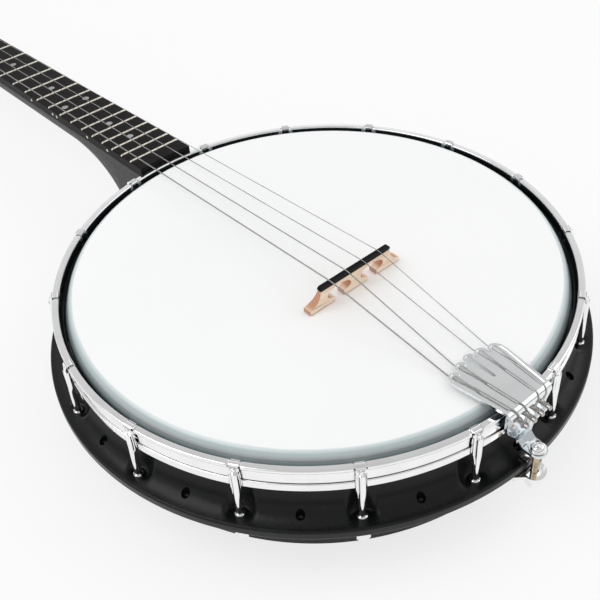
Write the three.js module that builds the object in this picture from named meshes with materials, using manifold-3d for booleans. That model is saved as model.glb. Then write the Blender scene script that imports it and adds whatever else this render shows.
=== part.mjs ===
// Tenor banjo with an open back. Millimetres, +Z up, +Y from the tail towards the headstock.
// The pot frame has its origin on the pot's axis, level with the foot of the rim.
import * as THREE from 'three';
import { mergeVertices } from 'three/addons/utils/BufferGeometryUtils.js';
import Module from 'manifold-3d';

const wasm = await Module();
wasm.setup();

// Driving sizes
const HEAD_DIAMETER = 279.4;
const SCALE_LENGTH = 571.5;
const POT_DEPTH = 70;
const FRET_COUNT = 19;
const HOOK_COUNT = 16;
const STRING_COUNT = 4;
const STRING_RADII = [0.42, 0.34, 0.27, 0.23];

// Clearances and mesh fineness
const GAP = 0.3;
const OVERRUN = 2;
const WELD = 0.0001;
const RING_SIDES = 64;
const ROD_SIDES = 16;
const SMALL_SIDES = 10;
const HEX_SIDES = 6;
const STRING_SIDES = 6;
const HALF_TURN = Math.PI;
const QUARTER_TURN = Math.PI / 2;
const FULL_TURN = Math.PI * 2;

// Drum head: a thin film that bends down over the rim
const FILM = { thickness: 0.4, proud: 1.5, crownRadius: 4.5, bendSteps: 3, collarFlare: 2.1 };
const FILM_INNER_R = HEAD_DIAMETER / 2;
const FILM_OUTER_R = FILM_INNER_R + FILM.thickness;
const COLLAR_OUTER_R = FILM_OUTER_R + FILM.collarFlare;
const HEAD_TOP = POT_DEPTH + FILM.proud;

// Tension hoop: a thin skirt round a deep gap, with a ledge that presses on the flesh hoop
const HOOP = {
  gap: 4.3, wall: 3.2, height: 10.2, ledgeHeight: 3, beadHeight: 2.2, beadProud: 0.5,
  lipProud: 0.8, notchDepth: 1, notchWidth: 6.6,
};
const HOOP_INNER_R = FILM_OUTER_R + HOOP.gap;
const HOOP_OUTER_R = HOOP_INNER_R + HOOP.wall;
const HOOP_BOTTOM = POT_DEPTH - HOOP.height;
const LEDGE_TOP = HOOP_BOTTOM + HOOP.ledgeHeight;
const LIP_OUTER_R = HOOP_OUTER_R + HOOP.lipProud;

// Flesh hoop: the ring at the film's edge
const FLESH = { height: 4.8, proud: 0.2 };
const FLESH_OUTER_R = HOOP_OUTER_R + FLESH.proud;
const FLESH_TOP = HOOP_BOTTOM - GAP;
const FLESH_BOTTOM = FLESH_TOP - FLESH.height;

// Rim and its flange
const RIM = { wall: 12, topFlat: 5 };
const RIM_OUTER_R = FILM_INNER_R - GAP;
const RIM_INNER_R = RIM_OUTER_R - RIM.wall;
const RIM_TOP = HEAD_TOP - FILM.thickness - GAP;
const FLANGE = { reach: 9.4, drop: 34.8, thickness: 5.6, coveEdge: 0.8, coveSteps: 4, coveClearance: 0.9 };
const FLANGE_OUTER_R = HOOP_OUTER_R + FLANGE.reach;
const FLANGE_TOP = POT_DEPTH - FLANGE.drop;
const FLANGE_BOTTOM = FLANGE_TOP - FLANGE.thickness;
const COVE_OUTER_R = FLANGE_OUTER_R - FLANGE.coveEdge;
const COVE_INNER_R = RIM_OUTER_R + RIM.wall / 8;
const COVE_TOP = FLESH_BOTTOM - FLANGE.coveClearance;
const COVE_BOTTOM = FLANGE_TOP + GAP / 2;
const DIMPLE = { radius: 2.3, depth: 3, inset: 8.4 };

// Hooks, each with its shank and nut
const HOOK = {
  width: 5.8, bodyDepth: 2.9, clawThickness: 1.8, clawInset: 1.9, shoulder: 1.1, belowHoop: 3.4,
  taper: 1.6, shankRadius: 1.75, holePlay: 0.35, channelRadius: 7.5,
};
const NUT = { radius: 4, length: 9, domeLength: 3, domeShare: 0.6 };
const HOOK_CIRCLE_R = FLESH_OUTER_R + GAP + HOOK.bodyDepth / 2;

// Bridge
const BRIDGE = {
  height: 14.8, centreY: -31, setback: 1.9, scaleLead: 1.1, capHeight: 2.6, capThickness: 2.6,
  capLength: 51.4, baseThickness: 5.6, baseLength: 66, footHeight: 2.4, sweepSteps: 8, archX: 12,
  archZ: 6.1, archHalf: 8.3, archRise: 3.8, archFall: 3.5, mouthHalf: 3.3, archSteps: 16,
};
const SADDLE_Y = BRIDGE.centreY - BRIDGE.setback;
const BRIDGE_FOOT_Z = HEAD_TOP + GAP;
const STRING_Z_AT_BRIDGE = HEAD_TOP + BRIDGE.height + GAP;
const STRING_SPACING_AT_BRIDGE = 11.8;

// Tailpiece, its bracket and its clamp on the flange
const TAIL = {
  topRise: 5.2, thickness: 1.6, rearReach: 4.2, plateLength: 32.8, lobeCount: 5, lobeRadius: 3.7,
  lobeSpacing: 7.15, shoulderHalf: 18.6, shoulderSetback: 5, rearHalf: 14.7, bendRadius: 3.2,
  bendSteps: 4, skirtDrop: 9.2, skirtHalf: 10.6, slotRadius: 1.6, slotSetback: 2.5, slotLength: 9.5,
  pinRadius: 1.2, pinLength: 5.2, pinSpacing: 5.6, pinDrop: 3, tabWidth: 2.6, tabLength: 4.2,
  tabThickness: 1.2, bendShare: 0.8,
};
const TAIL_REAR_Y = -(HOOP_OUTER_R + TAIL.rearReach);
const TAIL_FRONT_Y = TAIL_REAR_Y + TAIL.plateLength;
const SLOT_FRONT_Y = TAIL_FRONT_Y - TAIL.slotSetback;
const SLOT_REAR_Y = SLOT_FRONT_Y - TAIL.slotLength;
const TAIL_TOP = POT_DEPTH + TAIL.topRise;
const TAIL_SKIRT_INNER_Y = TAIL_REAR_Y;
const TAIL_SKIRT_OUTER_Y = TAIL_REAR_Y - TAIL.thickness;
const PIN_Z = POT_DEPTH - TAIL.pinDrop;
const BRACKET = {
  thickness: 1.8, topHalf: 14.6, shoulderDrop: 9, waistHalf: 5.4, waistDrop: 19.5, bendDrop: 21,
  armDrop: 24.2, armOut: 3.4, armHalf: 5,
};
const BRACKET_OUTER_Y = TAIL_SKIRT_INNER_Y + GAP;
const BRACKET_INNER_Y = BRACKET_OUTER_Y + BRACKET.thickness;
const ARM_TOP = POT_DEPTH - BRACKET.armDrop;
const ARM_BOTTOM = ARM_TOP - BRACKET.thickness;
const TAIL_SCREW = { reach: 8.2, radius: 1.8, headRadius: 4.1, headHeight: 3, headStep: 1.2 };
const TAIL_SCREW_Y = TAIL_REAR_Y - TAIL_SCREW.reach;
const TAIL_NUT = { radius: 4.6, height: 5.6, domeHeight: 5, domeShare: 0.55, boreDepth: 8 };
const CLAMP = {
  thickness: 1.8, half: 11, endRadius: 6.4, neckInset: 1, wallDrop: 22, tongueX: -2, tongueWidth: 3,
  tongueThickness: 1.4, tongueInset: 3.8, tongueLength: 5.2, tonguePlay: 0.4,
};
const CLAMP_NECK_Y = CLAMP.neckInset - FLANGE_OUTER_R;
const TONGUE_Y = CLAMP.tongueInset - FLANGE_OUTER_R;
const CLAMP_TOP = FLANGE_BOTTOM - GAP;
const CLAMP_BOTTOM = CLAMP_TOP - CLAMP.thickness;
const CLAMP_WALL_Y = -(RIM_OUTER_R + GAP);

// Coordinator rod, heel bolt and their nuts
const ROD = {
  z: 16, radius: 4, studRadius: 3, studPlay: 0.3, nutRadius: 6.4, nutLength: 5, intoHeel: 30,
  endLength: 9.5,
};
const HEEL_BOLT = { z: 44, length: 34, headroom: 9 };

// Neck and fingerboard, in the neck frame: y runs along the neck and z = 0 is the board's top
const NECK = {
  tiltDegrees: 2.5, planeRise: 9.7, boardThickness: 5.5, halfAtNut: 15.5, halfAtBody: 19.4,
  depthAtNut: 19.5, depthAtBody: 23.2, throatReach: 98.4, heelDepth: 66, heelSpan: 60, heelHalf: 11,
  heelBlend: 52, heelBottomZ: 7, rootInset: 21.4, shaftPower: 2.1, volute: 4, voluteLength: 26,
  joinOverlap: 1.5, throatSteps: 7, shaftSteps: 2, voluteSteps: 4, sectionSteps: 7,
};
const THROAT_Y = HOOP_OUTER_R + NECK.throatReach;
const NUT_BLOCK = { thickness: 5, rise: 1.7 };
const SCALE_START_Y = BRIDGE.centreY + BRIDGE.scaleLead;
const NUT_Y = SCALE_START_Y + SCALE_LENGTH;
const BOARD_START_Y = LIP_OUTER_R + GAP + GAP;
const FRET = { height: 1.1, width: 2, crownShare: 0.5 };
const NECK_PLANE_Z = POT_DEPTH + NECK.planeRise;
const NECK_TOP = -NECK.boardThickness - GAP;
const STRING_SPACING_AT_NUT = 8;
const TRUSS = {
  width: 6, height: 6.5, channelPlay: 0.5, startReach: 38.6, exitLength: 16, coverThickness: 1.8,
};
const TRUSS_START_Y = RIM_OUTER_R + TRUSS.startReach;

// Headstock, in its own frame: y runs from the nut to the tip and z = 0 is the top of the overlay
const HEADSTOCK = { angleDegrees: 10, length: 152, halfWidth: 34, thickness: 13.5, overlay: 1.8, step: 3.4 };
const HEADSTOCK_OUTLINE_SHARES = [
  [0.45, -0.02], [0.47, 0.05], [0.62, 0.13], [0.88, 0.23], [0.95, 0.36], [0.9, 0.52], [0.93, 0.7],
  [1, 0.86], [0.86, 0.94], [0.52, 0.94], [0.22, 0.97], [0, 1],
];
const OUTLINE_STEPS = 22;
const OVERLAY_START_Y = NUT_BLOCK.thickness / 5;
const COVER_OUTLINE_SHARES = [[0.36, 0], [0.5, 0.22], [0.4, 0.7], [0.14, 1]];
const COVER = { halfWidth: 17, length: 30, startY: 2.5 };

// Tuning machines, in a frame at each post, x outwards
const TUNER = {
  postX: 17.5, lowerY: 46, upperY: 100, edgeClearance: 3.4, gearRadius: 6.2, gearTeeth: 12,
  gearThickness: 4, toothDepth: 1.1, wormRadius: 2.5, wormLength: 11, shaftRadius: 2, shaftPlay: 0.3,
  housingPlay: 1, housingWall: 1.2, housingDepth: 10.4, cornerRadius: 3, cornerSteps: 2,
  earRadius: 3.6, earReach: 4, bossRadius: 3.4, bossLength: 3,
};
// Where each corner of a tooth stands in the tooth's pitch
const TOOTH_SHARES = { tipStart: 0.22, tipEnd: 0.5, rootStart: 0.72 };
const POST = { radius: 3, waistRadius: 2.5, rise: 15.5, waistBottom: 5.2, waistTop: 11.4, topChamfer: 0.6 };
const BUSHING = { radius: 4.7, bore: 3.35, holeRadius: 5, collarRadius: 6.3, collarHeight: 2.4, depth: 6 };
const BUTTON = { halfLength: 6.6, halfWidth: 8.8, thickness: 6.4, collarRadius: 3, collarLength: 2.6 };
const GEAR_MESH = TUNER.gearRadius + GAP + TUNER.wormRadius;
const WINDING = { turns: 2.5, stepsPerTurn: 16, clear: 0.45, topZ: 10 };
const HEADSTOCK_BACK = -HEADSTOCK.overlay - GAP - HEADSTOCK.thickness;
const HOUSING_HALF_X = TUNER.gearRadius + TUNER.housingPlay + TUNER.housingWall;
const HOUSING_TOP = HEADSTOCK_BACK - GAP;
const HOUSING_BOTTOM = HOUSING_TOP - TUNER.housingDepth;
const WORM_Z = HOUSING_TOP - (TUNER.housingDepth - TUNER.housingWall) / 2;

// Finishes
function finish(colour, roughness, metalness) {
  return new THREE.MeshStandardMaterial({ color: colour, roughness, metalness });
}
const MATERIALS = {
  composite: finish(0x16181a, 0.42, 0),
  film: finish(0xf1f4f4, 0.55, 0),
  chrome: finish(0xdfe2e4, 0.12, 1),
  zinc: finish(0xb4bcc6, 0.35, 1),
  brass: finish(0xc9a868, 0.3, 1),
  steel: finish(0x9a9da1, 0.35, 1),
  maple: finish(0xe3c39c, 0.6, 0),
  ebony: finish(0x1b1a1c, 0.5, 0),
  neck: finish(0x37383a, 0.5, 0),
  board: finish(0x221f21, 0.55, 0),
  bone: finish(0xe9e4d4, 0.45, 0),
  string: finish(0xc8c9ca, 0.25, 1),
};

// Solids
function signedVolume(position, index) {
  const a = new THREE.Vector3();
  const b = new THREE.Vector3();
  const c = new THREE.Vector3();
  let total = 0;
  for (let i = 0; i < index.length; i += 3) {
    a.fromArray(position, index[i] * 3);
    b.fromArray(position, index[i + 1] * 3);
    c.fromArray(position, index[i + 2] * 3);
    total += a.dot(b.cross(c));
  }
  return total / 6;
}

// Welds the corners, drops triangles that have closed up on an axis and turns the faces outwards.
function weld(geometry) {
  const bare = geometry.clone();
  bare.deleteAttribute('normal');
  bare.deleteAttribute('uv');
  const merged = mergeVertices(bare, WELD);
  const source = merged.index.array;
  const position = merged.attributes.position.array;
  const kept = [];
  for (let i = 0; i < source.length; i += 3) {
    const corners = [source[i], source[i + 1], source[i + 2]];
    if (new Set(corners).size === 3) kept.push(...corners);
  }
  if (signedVolume(position, kept) < 0) kept.reverse();
  const welded = new THREE.BufferGeometry();
  welded.setAttribute('position', new THREE.BufferAttribute(new Float32Array(position), 3));
  welded.setIndex(kept);
  return welded;
}

function toSolid(geometry) {
  const welded = weld(geometry);
  const vertProperties = welded.attributes.position.array;
  const triVerts = new Uint32Array(welded.index.array);
  return new wasm.Manifold(new wasm.Mesh({ numProp: 3, vertProperties, triVerts }));
}

function toGeometry(solid) {
  const mesh = solid.getMesh();
  const geometry = new THREE.BufferGeometry();
  geometry.setAttribute('position', new THREE.BufferAttribute(mesh.vertProperties, 3));
  geometry.setIndex(new THREE.BufferAttribute(mesh.triVerts, 1));
  return geometry;
}

function join(base, ...others) {
  return toGeometry(others.reduce((solid, other) => solid.add(toSolid(other)), toSolid(base)));
}

function cut(base, ...tools) {
  return toGeometry(tools.reduce((solid, tool) => solid.subtract(toSolid(tool)), toSolid(base)));
}

function common(base, ...others) {
  return toGeometry(others.reduce((solid, other) => solid.intersect(toSolid(other)), toSolid(base)));
}

// A ring or a round solid about Z, from [radius, z] corners. A ring's profile is closed here.
function turned(profile, sides) {
  const corners = profile.map(([r, z]) => new THREE.Vector2(r, z));
  if (profile[0][0] > 0) corners.push(corners[0].clone());
  return new THREE.LatheGeometry(corners, sides).rotateX(QUARTER_TURN);
}

function polygon(points) {
  return new THREE.Shape(points.map(([x, y]) => new THREE.Vector2(x, y)));
}

// A flat piece with its outline in x and y, from z = low upwards.
function slab(shape, low, thickness, curveSegments = SMALL_SIDES) {
  const geometry = new THREE.ExtrudeGeometry(shape, { depth: thickness, bevelEnabled: false, curveSegments });
  return geometry.translate(0, 0, low);
}

// A piece with its outline in x and z, from y = near towards the headstock.
function frontSlab(shape, near, depth, curveSegments = SMALL_SIDES) {
  return slab(shape, 0, depth, curveSegments).rotateX(QUARTER_TURN).translate(0, near + depth, 0);
}

// A piece with its outline in y and z, centred across x.
function sideSlab(shape, width, curveSegments = SMALL_SIDES) {
  const axes = [new THREE.Vector3(0, 1, 0), new THREE.Vector3(0, 0, 1), new THREE.Vector3(1, 0, 0)];
  const turn = new THREE.Matrix4().makeBasis(...axes);
  return slab(shape, -width / 2, width, curveSegments).applyMatrix4(turn);
}

function block(width, length, height, x, y, z) {
  return new THREE.BoxGeometry(width, length, height).translate(x, y, z);
}

// An upright cylinder from z = low to z = high.
function post(radius, low, high, x = 0, y = 0, sides = ROD_SIDES) {
  const geometry = new THREE.CylinderGeometry(radius, radius, high - low, sides);
  return geometry.rotateX(QUARTER_TURN).translate(x, y, (low + high) / 2);
}

// A cylinder along the neck's direction, from y = near to y = far.
function bar(radius, near, far, x, z, sides = ROD_SIDES) {
  const geometry = new THREE.CylinderGeometry(radius, radius, far - near, sides);
  return geometry.translate(x, (near + far) / 2, z);
}

function ring(count, place) {
  return Array.from({ length: count }, (unused, i) => place(i));
}

function arc(centreX, centreY, radiusX, radiusY, from, to, steps) {
  return ring(steps + 1, (i) => {
    const angle = from + ((to - from) * i) / steps;
    return [centreX + radiusX * Math.cos(angle), centreY + radiusY * Math.sin(angle)];
  });
}

function mix(a, b, share) {
  return a + (b - a) * share;
}

// The group and its frames
const banjo = new THREE.Group();
const pot = new THREE.Group();
const neckFrame = new THREE.Group();
const headFrame = new THREE.Group();
banjo.add(pot);
pot.add(neckFrame);
neckFrame.add(headFrame);
neckFrame.position.set(0, 0, NECK_PLANE_Z);
neckFrame.rotation.x = -THREE.MathUtils.degToRad(NECK.tiltDegrees);
headFrame.position.set(0, NUT_Y + NUT_BLOCK.thickness, -HEADSTOCK.step);
headFrame.rotation.x = -THREE.MathUtils.degToRad(HEADSTOCK.angleDegrees);
banjo.updateMatrixWorld(true);

function place(parent, name, geometry, material) {
  const mesh = new THREE.Mesh(weld(geometry), material);
  mesh.name = name;
  parent.add(mesh);
  return mesh;
}

// Drum head
function filmBend(radius) {
  const centreR = FILM_OUTER_R - FILM.crownRadius;
  const centreZ = HEAD_TOP - FILM.crownRadius;
  return arc(centreR, centreZ, radius, radius, QUARTER_TURN, 0, FILM.bendSteps);
}

function drumHead() {
  const skirtEnd = FLESH_TOP - FLESH.height / 2;
  const collarInner = COLLAR_OUTER_R - FILM.thickness;
  const outer = filmBend(FILM.crownRadius);
  const inner = filmBend(FILM.crownRadius - FILM.thickness).reverse();
  const profile = [
    [0, HEAD_TOP], ...outer, [COLLAR_OUTER_R, LEDGE_TOP], [COLLAR_OUTER_R, skirtEnd],
    [collarInner, skirtEnd], [collarInner, LEDGE_TOP], ...inner, [0, HEAD_TOP - FILM.thickness],
  ];
  return turned(profile, RING_SIDES);
}

// Hoops
function tensionHoop() {
  const band = HOOP_OUTER_R - HOOP.beadProud;
  const beadBottom = POT_DEPTH - HOOP.beadHeight;
  const edge = HOOP.beadProud;
  const hoop = turned([
    [HOOP_INNER_R + edge, POT_DEPTH], [LIP_OUTER_R - edge, POT_DEPTH], [LIP_OUTER_R, POT_DEPTH - edge],
    [LIP_OUTER_R, beadBottom + edge], [band, beadBottom], [band, HOOP_BOTTOM],
    [COLLAR_OUTER_R + GAP, HOOP_BOTTOM], [COLLAR_OUTER_R + GAP, LEDGE_TOP], [HOOP_INNER_R, LEDGE_TOP],
    [HOOP_INNER_R, POT_DEPTH - edge],
  ], RING_SIDES);
  const notchReach = LIP_OUTER_R - HOOP_INNER_R + OVERRUN;
  const notchMiddle = (HOOP_INNER_R + LIP_OUTER_R) / 2;
  const notchHeight = HOOP.notchDepth + OVERRUN;
  const notchZ = POT_DEPTH - HOOP.notchDepth + notchHeight / 2;
  const notch = block(HOOP.notchWidth, notchReach, notchHeight, 0, notchMiddle, notchZ);
  const lipCutReach = HOOP.lipProud + OVERRUN;
  const lipCutHeight = HOOP.beadHeight + OVERRUN;
  const lipCut = block(HOOP.notchWidth, lipCutReach, lipCutHeight, 0, HOOP_OUTER_R + lipCutReach / 2,
    beadBottom - OVERRUN / 2 + lipCutHeight / 2);
  const cuts = ring(HOOK_COUNT, (i) => [
    notch.clone().rotateZ(hookAngle(i)), lipCut.clone().rotateZ(hookAngle(i)),
  ]).flat();
  return cut(hoop, ...cuts);
}

function fleshHoop() {
  const inner = COLLAR_OUTER_R + GAP;
  return turned([
    [inner, FLESH_TOP], [FLESH_OUTER_R, FLESH_TOP], [FLESH_OUTER_R, FLESH_BOTTOM], [inner, FLESH_BOTTOM],
  ], RING_SIDES);
}

// Turn about Z that takes the +Y direction to hook i. The neck and the tail lie midway between hooks.
function hookAngle(i) {
  return ((i + 0.5) * FULL_TURN) / HOOK_COUNT;
}

// The outline of rim, flange and hoops in [radius, z], grown by a margin, from the rim's foot up.
function covePoints(margin) {
  const width = COVE_OUTER_R - COVE_INNER_R;
  const height = COVE_TOP - COVE_BOTTOM;
  return arc(COVE_OUTER_R, COVE_TOP, -width + margin, -height + margin, QUARTER_TURN, 0, FLANGE.coveSteps);
}

function coveHeight(radius) {
  const across = (COVE_OUTER_R - radius) / (COVE_OUTER_R - COVE_INNER_R);
  return COVE_TOP - (COVE_TOP - COVE_BOTTOM) * Math.sqrt(1 - across * across);
}

function potRim() {
  const bendRadius = FILM.crownRadius - FILM.thickness - GAP;
  const bendR = FILM_OUTER_R - FILM.crownRadius;
  const bendZ = HEAD_TOP - FILM.crownRadius;
  const body = turned([
    [RIM_INNER_R, 0], [RIM_OUTER_R, 0], [RIM_OUTER_R, FLANGE_BOTTOM], [FLANGE_OUTER_R, FLANGE_BOTTOM],
    [FLANGE_OUTER_R, FLANGE_TOP], ...covePoints(0), [RIM_OUTER_R, COVE_TOP],
    ...arc(bendR, bendZ, bendRadius, bendRadius, 0, QUARTER_TURN, FILM.bendSteps),
    [RIM_INNER_R + RIM.topFlat, RIM_TOP], [RIM_INNER_R, RIM_TOP - RIM.topFlat],
  ], RING_SIDES);
  const channel = post(HOOK.channelRadius, FLANGE_TOP, COVE_TOP + OVERRUN, 0, HOOK_CIRCLE_R, SMALL_SIDES);
  const holeRadius = HOOK.shankRadius + HOOK.holePlay;
  const hole = post(holeRadius, FLANGE_BOTTOM - OVERRUN, COVE_TOP, 0, HOOK_CIRCLE_R, SMALL_SIDES);
  const dimpleR = FLANGE_OUTER_R - DIMPLE.inset;
  const dimpleFloor = coveHeight(dimpleR) - DIMPLE.depth;
  const dimple = post(DIMPLE.radius, dimpleFloor, COVE_TOP, 0, dimpleR, SMALL_SIDES);
  const hookStep = FULL_TURN / HOOK_COUNT;
  const cuts = ring(HOOK_COUNT, (i) => [
    channel.clone().rotateZ(hookAngle(i)), hole.clone().rotateZ(hookAngle(i)),
    dimple.clone().rotateZ(i * hookStep),
  ]).flat();
  const studHole = ROD.studRadius + ROD.studPlay;
  const wallMiddle = (RIM_INNER_R + RIM_OUTER_R) / 2;
  const wallReach = RIM.wall / 2 + OVERRUN + OVERRUN;
  const heelSide = [wallMiddle - wallReach, wallMiddle + wallReach];
  const tailSide = [-wallMiddle - wallReach, -wallMiddle + wallReach];
  cuts.push(bar(studHole, ...heelSide, 0, ROD.z));
  cuts.push(bar(studHole, ...tailSide, 0, ROD.z));
  cuts.push(bar(studHole, heelSide[0], FLANGE_OUTER_R, 0, HEEL_BOLT.z));
  const slotWidth = CLAMP.tongueWidth + CLAMP.tonguePlay * 2;
  const slotLength = CLAMP.tongueThickness + CLAMP.tonguePlay * 2;
  const slotHeight = FLANGE.thickness + OVERRUN * 2;
  const slotZ = FLANGE_BOTTOM + FLANGE.thickness / 2;
  cuts.push(block(slotWidth, slotLength, slotHeight, CLAMP.tongueX, TONGUE_Y, slotZ));
  return cut(body, ...cuts);
}

// Hooks
function hook() {
  const clawBottom = POT_DEPTH - HOOP.notchDepth + GAP;
  const clawTop = clawBottom + HOOK.clawThickness;
  const clawTip = HOOP_INNER_R - HOOK.clawInset;
  const bodyInner = HOOK_CIRCLE_R - HOOK.bodyDepth / 2;
  const bodyOuter = HOOK_CIRCLE_R + HOOK.bodyDepth / 2;
  const bodyBottom = FLESH_BOTTOM - HOOK.belowHoop;
  const profile = polygon([
    [clawTip, clawBottom], [bodyInner, clawBottom], [bodyInner, bodyBottom], [bodyOuter, bodyBottom],
    [bodyOuter, clawTop - HOOK.shoulder], [bodyOuter - HOOK.shoulder, clawTop], [clawTip, clawTop],
  ]);
  const half = HOOK.width / 2;
  const front = polygon([
    [-half, clawTop], [-half, bodyBottom + HOOK.taper], [-half + HOOK.taper, bodyBottom],
    [half - HOOK.taper, bodyBottom], [half, bodyBottom + HOOK.taper], [half, clawTop],
  ]);
  const frontReach = bodyOuter - clawTip + OVERRUN * 2;
  const body = common(sideSlab(profile, HOOK.width), frontSlab(front, clawTip - OVERRUN, frontReach));
  const nutTop = FLANGE_BOTTOM - GAP;
  const nutBottom = nutTop - NUT.length;
  const end = nutBottom - NUT.domeLength;
  const shankTop = bodyBottom + HOOK.taper;
  const shank = post(HOOK.shankRadius, nutBottom, shankTop, 0, HOOK_CIRCLE_R, SMALL_SIDES);
  const nut = turned([
    [0, nutTop], [NUT.radius, nutTop], [NUT.radius, nutBottom], [NUT.radius * NUT.domeShare, end], [0, end],
  ], HEX_SIDES).translate(0, HOOK_CIRCLE_R, 0);
  return join(body, shank, nut);
}

// Bridge
// One arch of the bridge from its mouth's outer edge round to the other edge: an oval over a slot.
function archPoints(side) {
  const start = -Math.acos(BRIDGE.mouthHalf / BRIDGE.archHalf);
  const span = HALF_TURN - start * 2;
  const oval = ring(BRIDGE.archSteps + 1, (k) => {
    const angle = start + (span * k) / BRIDGE.archSteps;
    const reach = Math.sin(angle) > 0 ? BRIDGE.archRise : BRIDGE.archFall;
    const x = side * BRIDGE.archX + BRIDGE.archHalf * Math.cos(angle);
    return [x, BRIDGE.archZ + reach * Math.sin(angle)];
  });
  return [[oval[0][0], 0], ...oval, [oval[oval.length - 1][0], 0]];
}

function bridgeBody() {
  const half = BRIDGE.baseLength / 2;
  const top = BRIDGE.height - BRIDGE.capHeight - GAP;
  const topHalf = BRIDGE.capLength / 2;
  const shape = new THREE.Shape();
  shape.moveTo(-half, 0);
  shape.lineTo(-half, BRIDGE.footHeight);
  shape.quadraticCurveTo(-topHalf, BRIDGE.footHeight * 2, -topHalf, top);
  shape.lineTo(topHalf, top);
  shape.quadraticCurveTo(topHalf, BRIDGE.footHeight * 2, half, BRIDGE.footHeight);
  shape.lineTo(half, 0);
  for (const side of [1, -1]) {
    archPoints(side).forEach(([x, z]) => shape.lineTo(x, z));
  }
  const foot = BRIDGE.baseThickness / 2;
  const crestFront = BRIDGE.capThickness / 2 - BRIDGE.setback;
  const crestRear = crestFront - BRIDGE.capThickness;
  const reach = BRIDGE.baseThickness + BRIDGE.setback + OVERRUN;
  const front = frontSlab(shape, foot + OVERRUN - reach, reach, BRIDGE.sweepSteps);
  const side = polygon([[-foot, 0], [foot, 0], [foot, BRIDGE.footHeight], [crestFront, top],
    [crestRear, top], [-foot, BRIDGE.footHeight]]);
  return common(front, sideSlab(side, BRIDGE.baseLength)).translate(0, BRIDGE.centreY, BRIDGE_FOOT_Z);
}

function bridgeCap() {
  const z = STRING_Z_AT_BRIDGE - BRIDGE.capHeight / 2;
  const cap = block(BRIDGE.capLength, BRIDGE.capThickness, BRIDGE.capHeight, 0, SADDLE_Y, z);
  const reach = BRIDGE.capThickness / 2 + OVERRUN;
  const near = SADDLE_Y - reach;
  const far = SADDLE_Y + reach;
  const notches = STRING_RADII.map((radius, i) => bar(radius + GAP, near, far, bridgeX(i), STRING_Z_AT_BRIDGE,
    SMALL_SIDES));
  return cut(cap, ...notches);
}

function bridgeX(i) {
  return (i - (STRING_COUNT - 1) / 2) * STRING_SPACING_AT_BRIDGE;
}

function nutX(i) {
  return (i - (STRING_COUNT - 1) / 2) * STRING_SPACING_AT_NUT;
}

// The middle slot of the five carries no string.
function slotX(i) {
  const middle = (TAIL.lobeCount - 1) / 2;
  return ((i < middle ? i : i + 1) - middle) * TAIL.lobeSpacing;
}

function pinX(i) {
  return (i - (STRING_COUNT - 1) / 2) * TAIL.pinSpacing;
}

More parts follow.
